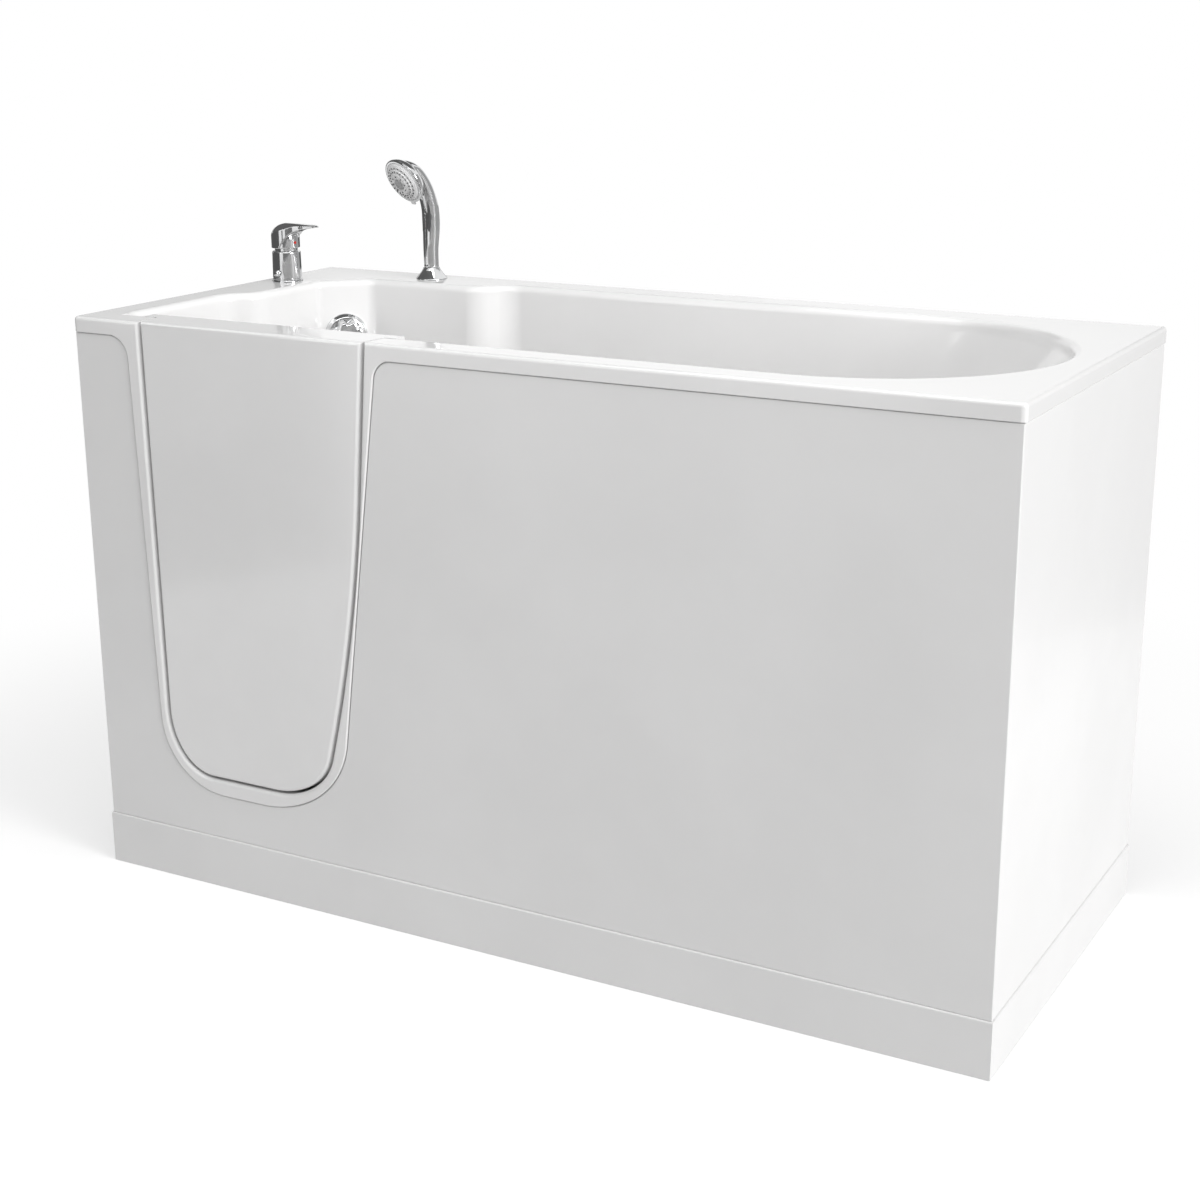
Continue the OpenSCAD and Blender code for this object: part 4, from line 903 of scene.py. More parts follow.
@dataclass
class TubShell:
    """The moulded shell: rim, basin, seat, footwell and the frame round the door."""

    doorway: Doorway
    notch: Notch
    lip: float = 24.0
    corner: float = 8.0
    edge: float = 6.0
    roll: float = 12.0
    left_rim: float = 57.0
    front_rim: float = 58.0
    back: float = 597.0
    end: float = 1448.0
    mixer_deck: float = 99.0
    mixer_deck_start: float = 335.0
    shower_edge: float = 553.0
    shower_end: float = 376.0
    step: float = 42.0
    cut: float = 66.0
    cut_ease: float = 9.17
    end_round: float = 290.0
    floor: float = 130.0
    seat: float = 550.0
    seat_fall: float = 3.0
    seat_front: float = 600.0
    recline: float = 0.75
    seat_fillet: float = 70.0
    floor_fillet: float = 40.0
    nose: float = 20.0
    lean: float = 15.0
    shoulder: float = 30.0
    ease: float = 10.0
    soft: float = 22.0
    split_soft: float = 10.0
    foot_split: float = 75.0
    foot_cut: float = 30.0
    band_round: float = 2.0
    block_wall: float = 12.0
    block_front: float = 6.4
    block_depth: float = 90.0
    frame_edge: float = 6.0
    overflow_hole: float = 31.0
    holes: tuple = ((50.0, 470.0, 850.0, 16.0), (255.0, 605.0, 850.0, 15.0), (230.0, 430.0, 100.0, 26.0))
    hole_depth: float = 62.0

    def corners(self, end: float, seat_in: float, split: float, cut: float) -> list[Corner]:
        """The basin's corners at one height.

        Args:
            end: Where the basin ends on the right.
            seat_in: How far the seat's part lies inside the walls.
            split: Where the footwell ends and the seat's part starts.
            cut: How far the end's rounding reaches.

        Returns:
            The corners, anticlockwise from the front left.
        """
        half = (self.back - self.front_rim) / 2 - seat_in - 1
        cut_y, soft, ease, blend = min(cut, half), self.soft, self.cut_ease, self.split_soft
        near, far = self.front_rim + seat_in, self.back - seat_in
        return [
            (self.left_rim, self.front_rim, soft, soft), (split, self.front_rim, blend, blend),
            (split + self.shoulder, near, blend, blend), (end, near, cut, cut_y), (end, far, cut_y, cut),
            (split + self.shoulder, far, blend, blend), (split, self.back, blend, blend),
            (self.shower_end + self.step, self.back, soft, soft), (self.shower_end, self.shower_edge, soft, soft),
            (self.mixer_deck + self.cut, self.shower_edge, ease, ease),
            (self.mixer_deck, self.shower_edge - self.cut, ease, ease),
            (self.mixer_deck, self.mixer_deck_start, soft, soft),
            (self.left_rim, self.mixer_deck_start - self.step, soft, soft),
        ]

    def backrest(self, z: float) -> float:
        """Where the backrest stands at a height, with its top eased into the rim's roll."""
        below = RIM - self.roll - z
        if below < self.ease:
            return self.end - self.recline * below * below / (2 * self.ease)
        return self.end - self.recline * (below - self.ease / 2)

    def seat_surface(self, x: float) -> float:
        """The seat's height at a place along the tub, before its rounding."""
        last = self.backrest(self.seat) - self.seat_fillet
        return self.seat - self.seat_fall * (last - x) / (last - self.seat_front)

    def foot_ring(self, end: float, out: float, z: float) -> Ring:
        """One ring of the footwell that ends at a place and lies a distance outside its walls."""
        return level(grown(self.corners(end, 0, end - self.foot_split, self.foot_cut), out), z)

    def foot_rings(self, wall: float) -> list[Ring]:
        """Rings of the footwell, from its floor to the seat's front edge."""
        low, top = self.seat - self.seat_fall, self.seat_front + self.nose
        nose_top = low - 2 if wall else self.seat_surface(top)
        rings = []
        for a in quarter(4 if wall else 12):
            z = self.floor + self.floor_fillet * (1 - math.sin(a))
            end = self.seat_front - self.lean * (low - z) / (low - self.floor)
            rings.append(self.foot_ring(end, wall - self.floor_fillet * (1 - math.cos(a)), z - wall))
        for inset, back in rolled(self.nose, 3 if wall else 10):
            rings.append(self.foot_ring(self.seat_front + inset, wall, nose_top - back - wall))
        return rings + [self.foot_ring(top, wall, nose_top + 8)]

    def seat_ring(self, end: float, inset: float, out: float, z: float) -> Ring:
        """One ring of the seat's part, inset from the basin's walls and grown outwards."""
        return level(grown(self.corners(end, inset, self.seat_front + self.nose - 5, self.end_round), out), z)

    def seat_rings(self, wall: float) -> list[Ring]:
        """Rings from the seat up to the rim."""
        seat = self.seat - self.seat_fall if wall else self.seat
        last = self.backrest(seat) - self.seat_fillet
        tilt = 0.0 if wall else self.seat_fall / (last - self.seat_front)
        rings = []
        for a in quarter(5 if wall else 16):
            z = seat + self.seat_fillet * (1 - math.sin(a))
            inset = self.seat_fillet * (1 - math.cos(a))
            ring = self.seat_ring(self.backrest(z) - inset, inset, wall, z - wall)
            ring[:, 2] -= tilt * math.sin(a) * (last - ring[:, 0])
            rings.append(ring)
        roll_foot = RIM - self.roll
        for share in (1, 0.75, 0.5, 0.25):
            z = roll_foot - self.ease * share
            rings.append(self.seat_ring(self.backrest(z), 0, wall, z))
        tops = [(wall, roll_foot), (wall, RIM - 1)]
        if not wall:
            tops = [(self.roll * (1 - math.sin(a)), roll_foot + self.roll * math.cos(a)) for a in quarter(9)]
            tops.append((self.roll + 1, RIM + 1))
        return rings + [self.seat_ring(self.end, 0, out, z) for out, z in tops]

    def rim(self) -> Piece:
        """The rim's plate with its hanging lip, hollow underneath."""
        square = [(x, y, self.corner, self.corner) for x, y in
                  ((0, 0), (TUB_LENGTH, 0), (TUB_LENGTH, TUB_WIDTH), (0, TUB_WIDTH))]
        low = RIM - self.lip
        rings = [level(grown(square, -1.0), low, 10), level(grown(square, -0.3), low + 0.3, 10),
                 level(square, low + 1.2, 10)]
        rings += [level(grown(square, -inset), RIM - back, 10) for inset, back in rolled(self.edge, 8)]
        plate = Skin().loft(rings).piece("tub_shell_moulding")
        hollow = Skin().box((SHELL, self.block_front, low - 1),
                            (TUB_LENGTH - SHELL, TUB_WIDTH - SHELL, RIM - SHELL)).piece("hollow")
        return join(plate, [hollow], "DIFFERENCE")

    def opening(self) -> list[Skin]:
        """The doorway with its rounded front edge, and the recess behind it."""
        way = self.doorway
        around = grown(way.door(), way.gap)
        section = [(self.frame_edge, -1.0), *((out, y) for y, out in rolled(self.frame_edge, 8)),
                   (way.flare, way.jamb + 1)]
        rings = [front_ring(grown(around, out), y) for out, y in section]
        recess = [front_ring(way.recess(), y) for y in (way.jamb, self.block_depth + 1)]
        return [Skin().loft(rings), Skin().loft(recess)]

    def build(self, shop: Workshop) -> None:
        """Builds the shell in the place of its node."""
        band = [self.notch.band(inset, y) for inset, y in reversed(rolled(self.band_round, 5))]
        band.append(self.notch.band(0.0, self.block_front + 3))
        block = under_rim(self.doorway.recess(), self.block_wall)
        solid = self.rim()
        block_rings = [front_ring(block, y) for y in (self.block_front, self.block_depth)]
        join(solid, [Skin().loft(rings).piece("outside")
                     for rings in (self.foot_rings(SHELL), self.seat_rings(SHELL), band, block_rings)], "UNION")
        deep, r = self.hole_depth, self.overflow_hole
        holes = [Skin().lathe([(0, 0), (r, 0), (r, deep), (0, deep)]).moved(turned(shift(x, y, z)))
                 for x, y, z, r in self.holes]
        holes.append(Skin().lathe([(0, -30), (r, -30), (r, 30), (0, 30)]).moved(Overflow.place()))
        water = [Skin().loft(self.foot_rings(0)), Skin().loft(self.seat_rings(0))]
        join(solid, [skin.piece("cutter") for skin in (*water, *self.opening(), *holes)], "DIFFERENCE")
        shop.dress(crisp(solid, 28), "tub_shell")


# ---- panels and plinth --------------------------------------------------------------------------


@dataclass
class Panels:
    """The front and end panels and the plinth boards under them."""

    notch: Notch
    thickness: float = 4.0
    edge: float = 1.9
    plinth: float = 85.0
    board: float = 12.0
    board_round: float = 3.0
    tongue_start: float = 599.0

    def front(self, shop: Workshop) -> None:
        """The front panel, its edges rounded, with the tongue that holds it under the rim."""
        front, back = self.notch.setback, self.notch.setback + self.thickness
        rings = [front_ring(grown(self.notch.panel(), -inset), front + y)
                 for inset, y in reversed(rolled(self.edge, 4))]
        rings.append(front_ring(self.notch.panel(), back))
        panel = Skin().loft(rings)
        top, end = self.notch.top, TUB_LENGTH - 60
        panel.box((self.tongue_start, back - 0.01, top - 35), (end, back + 0.41, top - 1))
        panel.box((self.tongue_start, back + 0.4, top - 35), (end, back + 3.4, top + 12))
        shop.dress(crisp(panel.piece("front_panel_sheet"), 28), "front_panel")

    def end(self, shop: Workshop) -> None:
        """The right end's panel."""
        back = self.notch.setback + self.thickness
        panel = Skin().box((TUB_LENGTH - back, back, self.plinth),
                           (TUB_LENGTH - back + self.thickness, TUB_WIDTH - 2, self.notch.top))
        shop.dress(eased(panel.piece("end_panel_sheet"), self.edge), "end_panel")

    def section(self) -> list[Point]:
        """A plinth board's section: depth from its face, and height."""
        rounded = [(inset, self.plinth - back) for inset, back in rolled(self.board_round, 6)]
        return [(0, 0), *rounded, (self.board - 0.6, self.plinth), (self.board, self.plinth - 0.6), (self.board, 0)]

    def boards(self, shop: Workshop) -> None:
        """The plinth's front board and its end board."""
        shape = self.section()
        front = [np.array([[x, d, h] for d, h in shape]) for x in (0.0, TUB_LENGTH)]
        end = [np.array([[TUB_LENGTH - d, y, h] for d, h in shape]) for y in (self.board, TUB_WIDTH)]
        for node, rings in (("front_plinth", front), ("end_plinth", end)):
            shop.dress(eased(Skin().loft(rings).piece(node + "_board"), 0.5, 60), node)

    def build(self, shop: Workshop) -> None:
        """Builds all four."""
        self.front(shop)
        self.end(shop)
        self.boards(shop)


# ---- door ---------------------------------------------------------------------------------------


@dataclass
class Door:
    """The door's two skins and its seal."""

    doorway: Doorway
    thickness: float = 75.0
    skin: float = 5.0
    edge: float = 6.0
    inner_round: float = 4.0
    flange_front: float = 49.0
    seal_front: float = 45.3
    lips: int = 2
    seal_foot: float = 1.5
    seal_drop: float = 4.0

    def outer(self, shop: Workshop) -> None:
        """The outer skin, with its rounded front edge, open at the back."""
        corners = self.doorway.door()
        rings = [front_ring(under_rim(corners, self.doorway.flare), self.flange_front)]
        rings += [front_ring(grown(corners, -inset), y) for inset, y in rolled(self.edge, 8)]
        hollow = grown(corners, -self.skin)
        inside = Skin().loft([front_ring(hollow, self.skin), front_ring(hollow, self.flange_front + 1)])
        piece = join(Skin().loft(rings).piece("door_outer_skin"), [inside.piece("inside")], "DIFFERENCE")
        shop.dress(crisp(piece, 28), "door_outer_shell")

    def inner(self, shop: Workshop) -> None:
        """The inner skin with its flange all round."""
        corners = self.doorway.flange()
        rings = [front_ring(corners, self.flange_front)]
        rings += [front_ring(grown(corners, -inset), self.thickness - back)
                  for inset, back in rolled(self.inner_round, 8)]
        door, flange = grown(self.doorway.door(), -self.skin), grown(corners, -self.skin)
        front = self.flange_front
        mouth = Skin().loft([front_ring(door, front - 1), front_ring(door, front + self.skin + 1)])
        inside = Skin().loft([front_ring(flange, front + self.skin), front_ring(flange, self.thickness - self.skin)])
        piece = join(Skin().loft(rings).piece("door_inner_skin"), [mouth.piece("mouth"), inside.piece("inside")],
                     "DIFFERENCE")
        shop.dress(crisp(piece, 28), "door_inner_shell")

    def path(self, corners: list[Corner], high: float) -> np.ndarray:
        """The left side, the foot and the right side of an outline, up to a height."""
        n = len(corners)
        way = [p for i in range(-1, n - 1) for p in arc(corners[i - 1], corners[i], corners[i + 1], 24)]
        for end, near in ((0, 1), (-1, -2)):
            a, b = way[end], way[near]
            way[end] = b + (a - b) * (high - b[1]) / (a[1] - b[1])
        return np.array(way)

    def seal(self, shop: Workshop) -> None:
        """The rubber seal: a flat foot with soft lips, along three sides of the flange."""
        high = RIM - self.seal_drop
        outer = self.path(under_rim(self.doorway.flange(), -self.seal_drop), high)
        inner = self.path(grown(self.doorway.door(), self.doorway.flare + 1), high)
        back = self.flange_front
        foot = back - self.seal_foot
        root = foot - 0.2
        section = [(0.0, back), (0.0, foot)]
        for lip in range(self.lips):
            middle = (lip + 0.5) / self.lips
            for a in np.linspace(0, math.pi, 7):
                section.append((middle - 0.16 * math.cos(a), root - (root - self.seal_front) * math.sin(a)))
        section += [(1.0, foot), (1.0, back)]
        rings = [np.array([[*(a + (b - a) * share), y] for share, y in section])[:, [0, 2, 1]]
                 for a, b in zip(inner, outer)]
        shop.dress(crisp(Skin().loft(rings).piece("door_seal_lips"), 50), "door_seal")

    def build(self, shop: Workshop) -> None:
        """Builds the skins and the seal."""
        self.outer(shop)
        self.inner(shop)
        self.seal(shop)


@dataclass
class Hardware:
    """Hinges and latch."""

    screws: Recipe
    leaf_x: float = 127.0
    leaf_y: float = 78.0
    low: float = 330.0
    high: float = 720.0
    length: float = 80.0
    latch_x: float = 484.0
    latch_z: float = 700.0
    lever_y: float = 96.8
    lever_length: float = 95.0
    keeper_x: float = 569.0
    keeper_y: float = 63.0

    def lever(self, shop: Workshop) -> None:
        """The latch's paddle, thick at its boss and thin at its tip."""
        place = turned(shift(self.latch_x, self.lever_y, self.latch_z), spin(-90, "X"))
        boss = [(0, 0), (13, 0), (14, 0.8), (14, 5.5), (13.4, 7.6), (11.6, 8.8), (8, 9), (0, 9)]
        reach = self.lever_length
        sections = ((10, 6, 0.6, 8.4), (0, 11.5, 0.2, 8.6), (-20, 10.6, 0.2, 8.4), (20 - reach, 9.2, 0.2, 8.0),
                    (8 - reach, 9, 0.4, 7.2), (3 - reach, 7.4, 0.6, 6.8), (0.4 - reach, 4.2, 1.2, 6.2))
        angles = np.linspace(0, 2 * math.pi, 24, endpoint=False)
        across = np.sign(np.cos(angles)) * np.abs(np.cos(angles)) ** 0.45
        up = np.sign(np.sin(angles)) * np.abs(np.sin(angles)) ** 0.6
        rings = [np.column_stack([np.full(24, float(x)), wide * across, (low + high) / 2 + (high - low) / 2 * up])
                 for x, wide, low, high in sections]
        piece = Skin().lathe(boss, 48).loft(rings).moved(place).piece("latch_paddle")
        shop.dress(cast(piece, voxel=0.7, rounds=10), "latch_lever")

    def build(self, shop: Workshop) -> None:
        """Builds the hinges' and the latch's pieces."""
        shop.refine(0.5, "hinge_frame_leaves", "hinge_door_leaves", "hinge_pins")
        for node, width in (("latch_spindle", 0.4), ("latch_bolt", 1.6), ("latch_keeper", 1.2), ("latch_housing", 2.5)):
            shop.refine(width, node)
        self.lever(shop)
        steel = shop.palette.material("stainless")
        hinges = [(self.leaf_x, self.leaf_y + 1, z + share * self.length)
                  for z in (self.low, self.high) for share in (0.2, 0.8)]
        keeper = [(self.keeper_x, self.keeper_y, self.latch_z + side) for side in (-35, 35)]
        for name, points in (("hinge_screw", hinges), ("keeper_screw", keeper)):
            shop.dress(self.screws.run(marks(name + "_heads", points), steel), name + "s")


# ---- waste and overflow -------------------------------------------------------------------------


@dataclass
class Waste:
    """The waste's flange, its plug and what hangs under it."""

    x: float = 230.0
    y: float = 430.0
    floor: float = 130.0
    rim: float = 35.0
    throat: float = 25.0

    def build(self, shop: Workshop) -> None:
        """Builds the visible flange and plug, and eases the rest."""
        place = turned(shift(self.x, self.y, 0))
        f, r, t = self.floor, self.rim, self.throat
        flange = Skin().lathe([
            (t, 96), (t, f), (r - 0.5, f), (r, f + 0.4), (r - 0.4, f + 1.2), (r - 2, f + 1.9), (r - 5, f + 2),
            (t + 1.5, f + 1.2), (t - 2.5, f - 1), (t - 4, f - 4), (t - 4, 96)], 96)
        flange.lathe([(4.06, 112), (8, 112), (8, 118), (4.06, 118)], 48)
        for k in range(3):
            flange.merge(Skin().box((6.5, -1.5, 112), (t - 2, 1.5, 118)).moved(turned(spin(120 * k, "Z"))))
        shop.dress(crisp(flange.moved(place).piece("waste_flange_ring"), 35), "waste_flange")
        top = f + 2.4
        shop.lathe("waste_plug_dome", "waste_plug", [
            (0, 100), (3.4, 100), (4, 100.6), (4, top), (r - 8, top), (r - 7, top + 0.5), (r - 7, top + 1.2),
            (r - 8, top + 2.0), (r - 11, top + 2.9), (16, top + 3.8), (8, top + 4.2), (0, top + 4.4)], place)
        for node, width in (("waste_nut", 0.8), ("waste_trap", 1.2), ("waste_gasket", 0.5), ("outlet_pipe", 0.5)):
            shop.refine(width, node)


@dataclass
class Overflow:
    """The overflow's rosette and lobed knob, and the pipes behind them."""

    rosette: float = 37.0
    knob: float = 30.0
    neck: float = 29.5
    lobes: int = 8
    press: float = 4.0
    round_to: float = 14.0

    @staticmethod
    def place() -> np.ndarray:
        """Moves to the overflow's frame, with z out through the basin's wall."""
        return turned(shift(132, 520, 806), spin(135, "Z"), spin(90, "Y"))

    def lobe(self, r: float, _: float, angle: float) -> float:
        """The knob's radius at an angle, pressed in between its lobes and round near its axis."""
        depth = self.press * min(1.0, max(0.0, (r - self.round_to) / (self.knob - 6 - self.round_to)))
        return r - depth * (0.5 + 0.5 * math.cos(self.lobes * angle)) ** 1.4

    def build(self, shop: Workshop) -> None:
        """Builds the rosette and the knob, and eases the rest."""
        r, k = self.rosette, self.knob
        shop.lathe("overflow_rosette_ring", "overflow_rosette", [
            (5.06, -7), (r - 9, -7), (r - 6.4, -6.7), (r - 5, -5.8), (r - 1.2, -2.2), (r - 0.2, -0.8), (r, 0),
            (self.neck, 0), (self.neck, 13), (26.5, 13), (26.5, -3), (5.06, -3)], self.place())
        knob = Skin().lathe([
            (0, -32.2), (8, -32.4), (14, -33.0), (k - 9, -34), (k - 5.4, -33.6), (k - 3.6, -32.4),
            (k - 2.9, -30.6), (k - 2.2, -26), (k - 0.9, -15), (k - 0.3, -10.4), (k - 0.8, -8.6), (k - 2, -8),
            (5, -8), (5, 27), (0, 27)], 192, self.lobe)
        shop.dress(crisp(knob.moved(self.place()).piece("overflow_lobed_knob"), 40), "overflow_knob")
        shop.refine(0.4, "overflow_gasket")
        shop.refine(1.5, "overflow_body")
        shop.refine(0.5, "cable_clips")


# ---- mixer --------------------------------------------------------------------------------------


@dataclass
class Mixer:
    """The deck mixer with its lever, its diverter and what goes through the deck."""

    x: float = 50.0
    y: float = 470.0
    radius: float = 24.5
    body: float = 52.0
    height: float = 98.0
    reach: float = 68.0
    groove: float = 5.0
    lever_r: float = 24.0
    crown_start: float = 4.0
    crown_reach: float = 27.8
    crown_rise: float = 22.0
    dot_turn: float = -12.0
    dot_rise: float = 9.5

    def crown(self, x: float) -> np.ndarray:
        """The lever's rounded top across one place along it, with the ground below it.

        Args:
            x: The place, from the mixer's axis towards the bill's tip.

        Returns:
            A closed ring round the section.
        """
        across = np.linspace(30, -30, 61)
        reach = np.hypot(min(0.0, x - self.crown_start), across) / self.crown_reach
        arch = np.sqrt(np.clip(1 - reach ** 2, 0, None)) - 0.15 * np.clip(reach - 1, 0, None)
        tip = self.reach - 48
        droop = 0.8 * max(0.0, (x - tip) / 40) ** 2 + 2.4 * max(0.0, (x - tip - 36) / 12) ** 3
        high = self.height + self.crown_rise * (arch - 1) - droop
        top = np.column_stack([np.full(61, x), across, high])
        low = self.body + self.groove - 1
        return np.vstack([[[x, -30.0, low], [x, 30.0, low]], top])

    def lever(self, shop: Workshop) -> None:
        """The lever: a band that sweeps over the cap and out into the bill, proud of the cap's cheeks."""
        place = turned(shift(self.x, self.y, RIM))
        foot, top, r, tip = self.body + self.groove, self.height, self.lever_r + 0.5, self.reach
        side = [(-r - 1, foot), (-r - 1, top + 1), (tip + 1, top + 1), (tip + 1, top - 4.4), (60, top - 5.6),
                (50, top - 7.2), (40, top - 9), (32, top - 11.2), (26, top - 13.4), (22, top - 15.8),
                (16.5, top - 20), (12, top - 25), (7.6, top - 31), (4.6, foot + 4), (3, foot)]
        plan = [(tip, 0), (66.6, 4.6), (63, 8), (56, 10.2), (46, 11.8), (36, 13.2), (27, 15.4), (20, 18.6),
                (14, 21.2)]
        plan += [(r * math.cos(a), r * math.sin(a)) for a in np.linspace(math.radians(62), math.pi, 16)]
        plan += [(x, -y) for x, y in reversed(plan[1:-1])]
        band = Skin().loft([np.array([[x, y, z] for x, z in side]) for y in (-30.0, 30.0)])
        shape = Skin().loft([np.array([[x, y, z] for x, y in plan]) for z in (foot - 2, top + 2)])
        over = Skin().loft([self.crown(x) for x in np.linspace(-27, tip + 1, 50)])
        q = self.lever_r - 0.6
        cheeks = Skin().lathe([
            (0, foot), (q - 0.6, foot), (q, foot + 0.6), (q, foot + 17), (q - 1.2, foot + 22),
            (q - 4.4, top - 12.5), (q - 11, top - 7.4), (0, top - 4.4)], 96)
        inside = Skin().lathe([
            (0, foot - 2), (q - 3, foot - 2), (q - 3, foot + 17), (q - 5.4, foot + 22), (8, top - 12.7),
            (0, top - 12.7)], 96)
        lever = band.moved(place).piece("mixer_lever_bill")
        for how, skins in (("INTERSECT", (shape, over)), ("UNION", (cheeks,)), ("DIFFERENCE", (inside,))):
            join(lever, [skin.moved(place).piece("tool") for skin in skins], how)
        shop.dress(cast(lever, voxel=0.55, rounds=5), "mixer_lever")

    def build(self, shop: Workshop) -> None:
        """Builds the mixer from the deck up, and eases what hangs below."""
        r, b = self.radius, self.body
        place = turned(shift(self.x, self.y, RIM))
        for name, node, slot, profile in (
            ("mixer_base_plate", "mixer_base_ring", None, [
                (18, 0), (r + 1.3, 0), (r + 1.5, 0.3), (r + 1.5, 1.6), (r + 1.0, 2.6), (r, 3), (18, 3)]),
            ("mixer_body_turned", "mixer_body", None, [
                (0, 3), (r - 0.4, 3), (r, 3.4), (r, 5.6), (r - 0.5, 6.1), (r - 0.5, 6.6), (r - 0.1, 7.1), (r, 8),
                (r - 0.3, 30), (r - 0.6, b - 3.2), (r - 0.9, b - 1.6), (r - 1.8, b - 0.5), (r - 3, b),
                (17.5, b), (17.5, 15), (0, 15)]),
            ("mixer_cartridge_turned", "mixer_cartridge", None, [
                (4.06, b - 12), (4.06, b + 5), (16, b + 5), (16.5, b + 4.6), (18.3, b + 0.4), (18.5, b),
                (17.2, b), (17.2, 15.3), (0, 15.3), (0, b - 12)]),
            ("mixer_groove_collar", "mixer_cartridge", "chrome_brass", [
                (18.6, b + 0.1), (19.2, b + 0.3), (19.2, b + 4.4), (18.6, b + 4.7), (18.55, b + 2.4)]),
        ):
            shop.lathe(name, node, profile, place, degrees=32, slot=slot)
        self.lever(shop)
        shop.lathe("diverter_pull", "diverter_knob", [
            (0, -6), (2.5, -6), (2.5, 1), (4.6, 1), (5.3, 1.5), (5.5, 2.2), (5.4, 4.2), (4.9, 4.6), (4.9, 5.2),
            (5.1, 5.6), (4.9, 7.6), (4.3, 8.6), (3.2, 9), (0, 9)],
            turned(shift(self.x, self.y - r, RIM + 16), spin(90, "X")), 64)
        side = turned(shift(self.x, self.y, RIM + b + self.groove + self.dot_rise), spin(self.dot_turn, "Z"),
                      shift(self.lever_r - 1, 0, 0), spin(90, "Y"))
        shop.lathe("lever_heat_dot", "lever_dot", [
            (0, 0), (2.5, 0), (2.5, 1.0), (2.2, 1.3), (1.4, 1.4), (0, 1.4)], side, 40)
        for node, width in (("mixer_stem", 0.4), ("mixer_shank", 0.5), ("mixer_locknut", 0.8)):
            shop.refine(width, node)


# ---- shower -------------------------------------------------------------------------------------


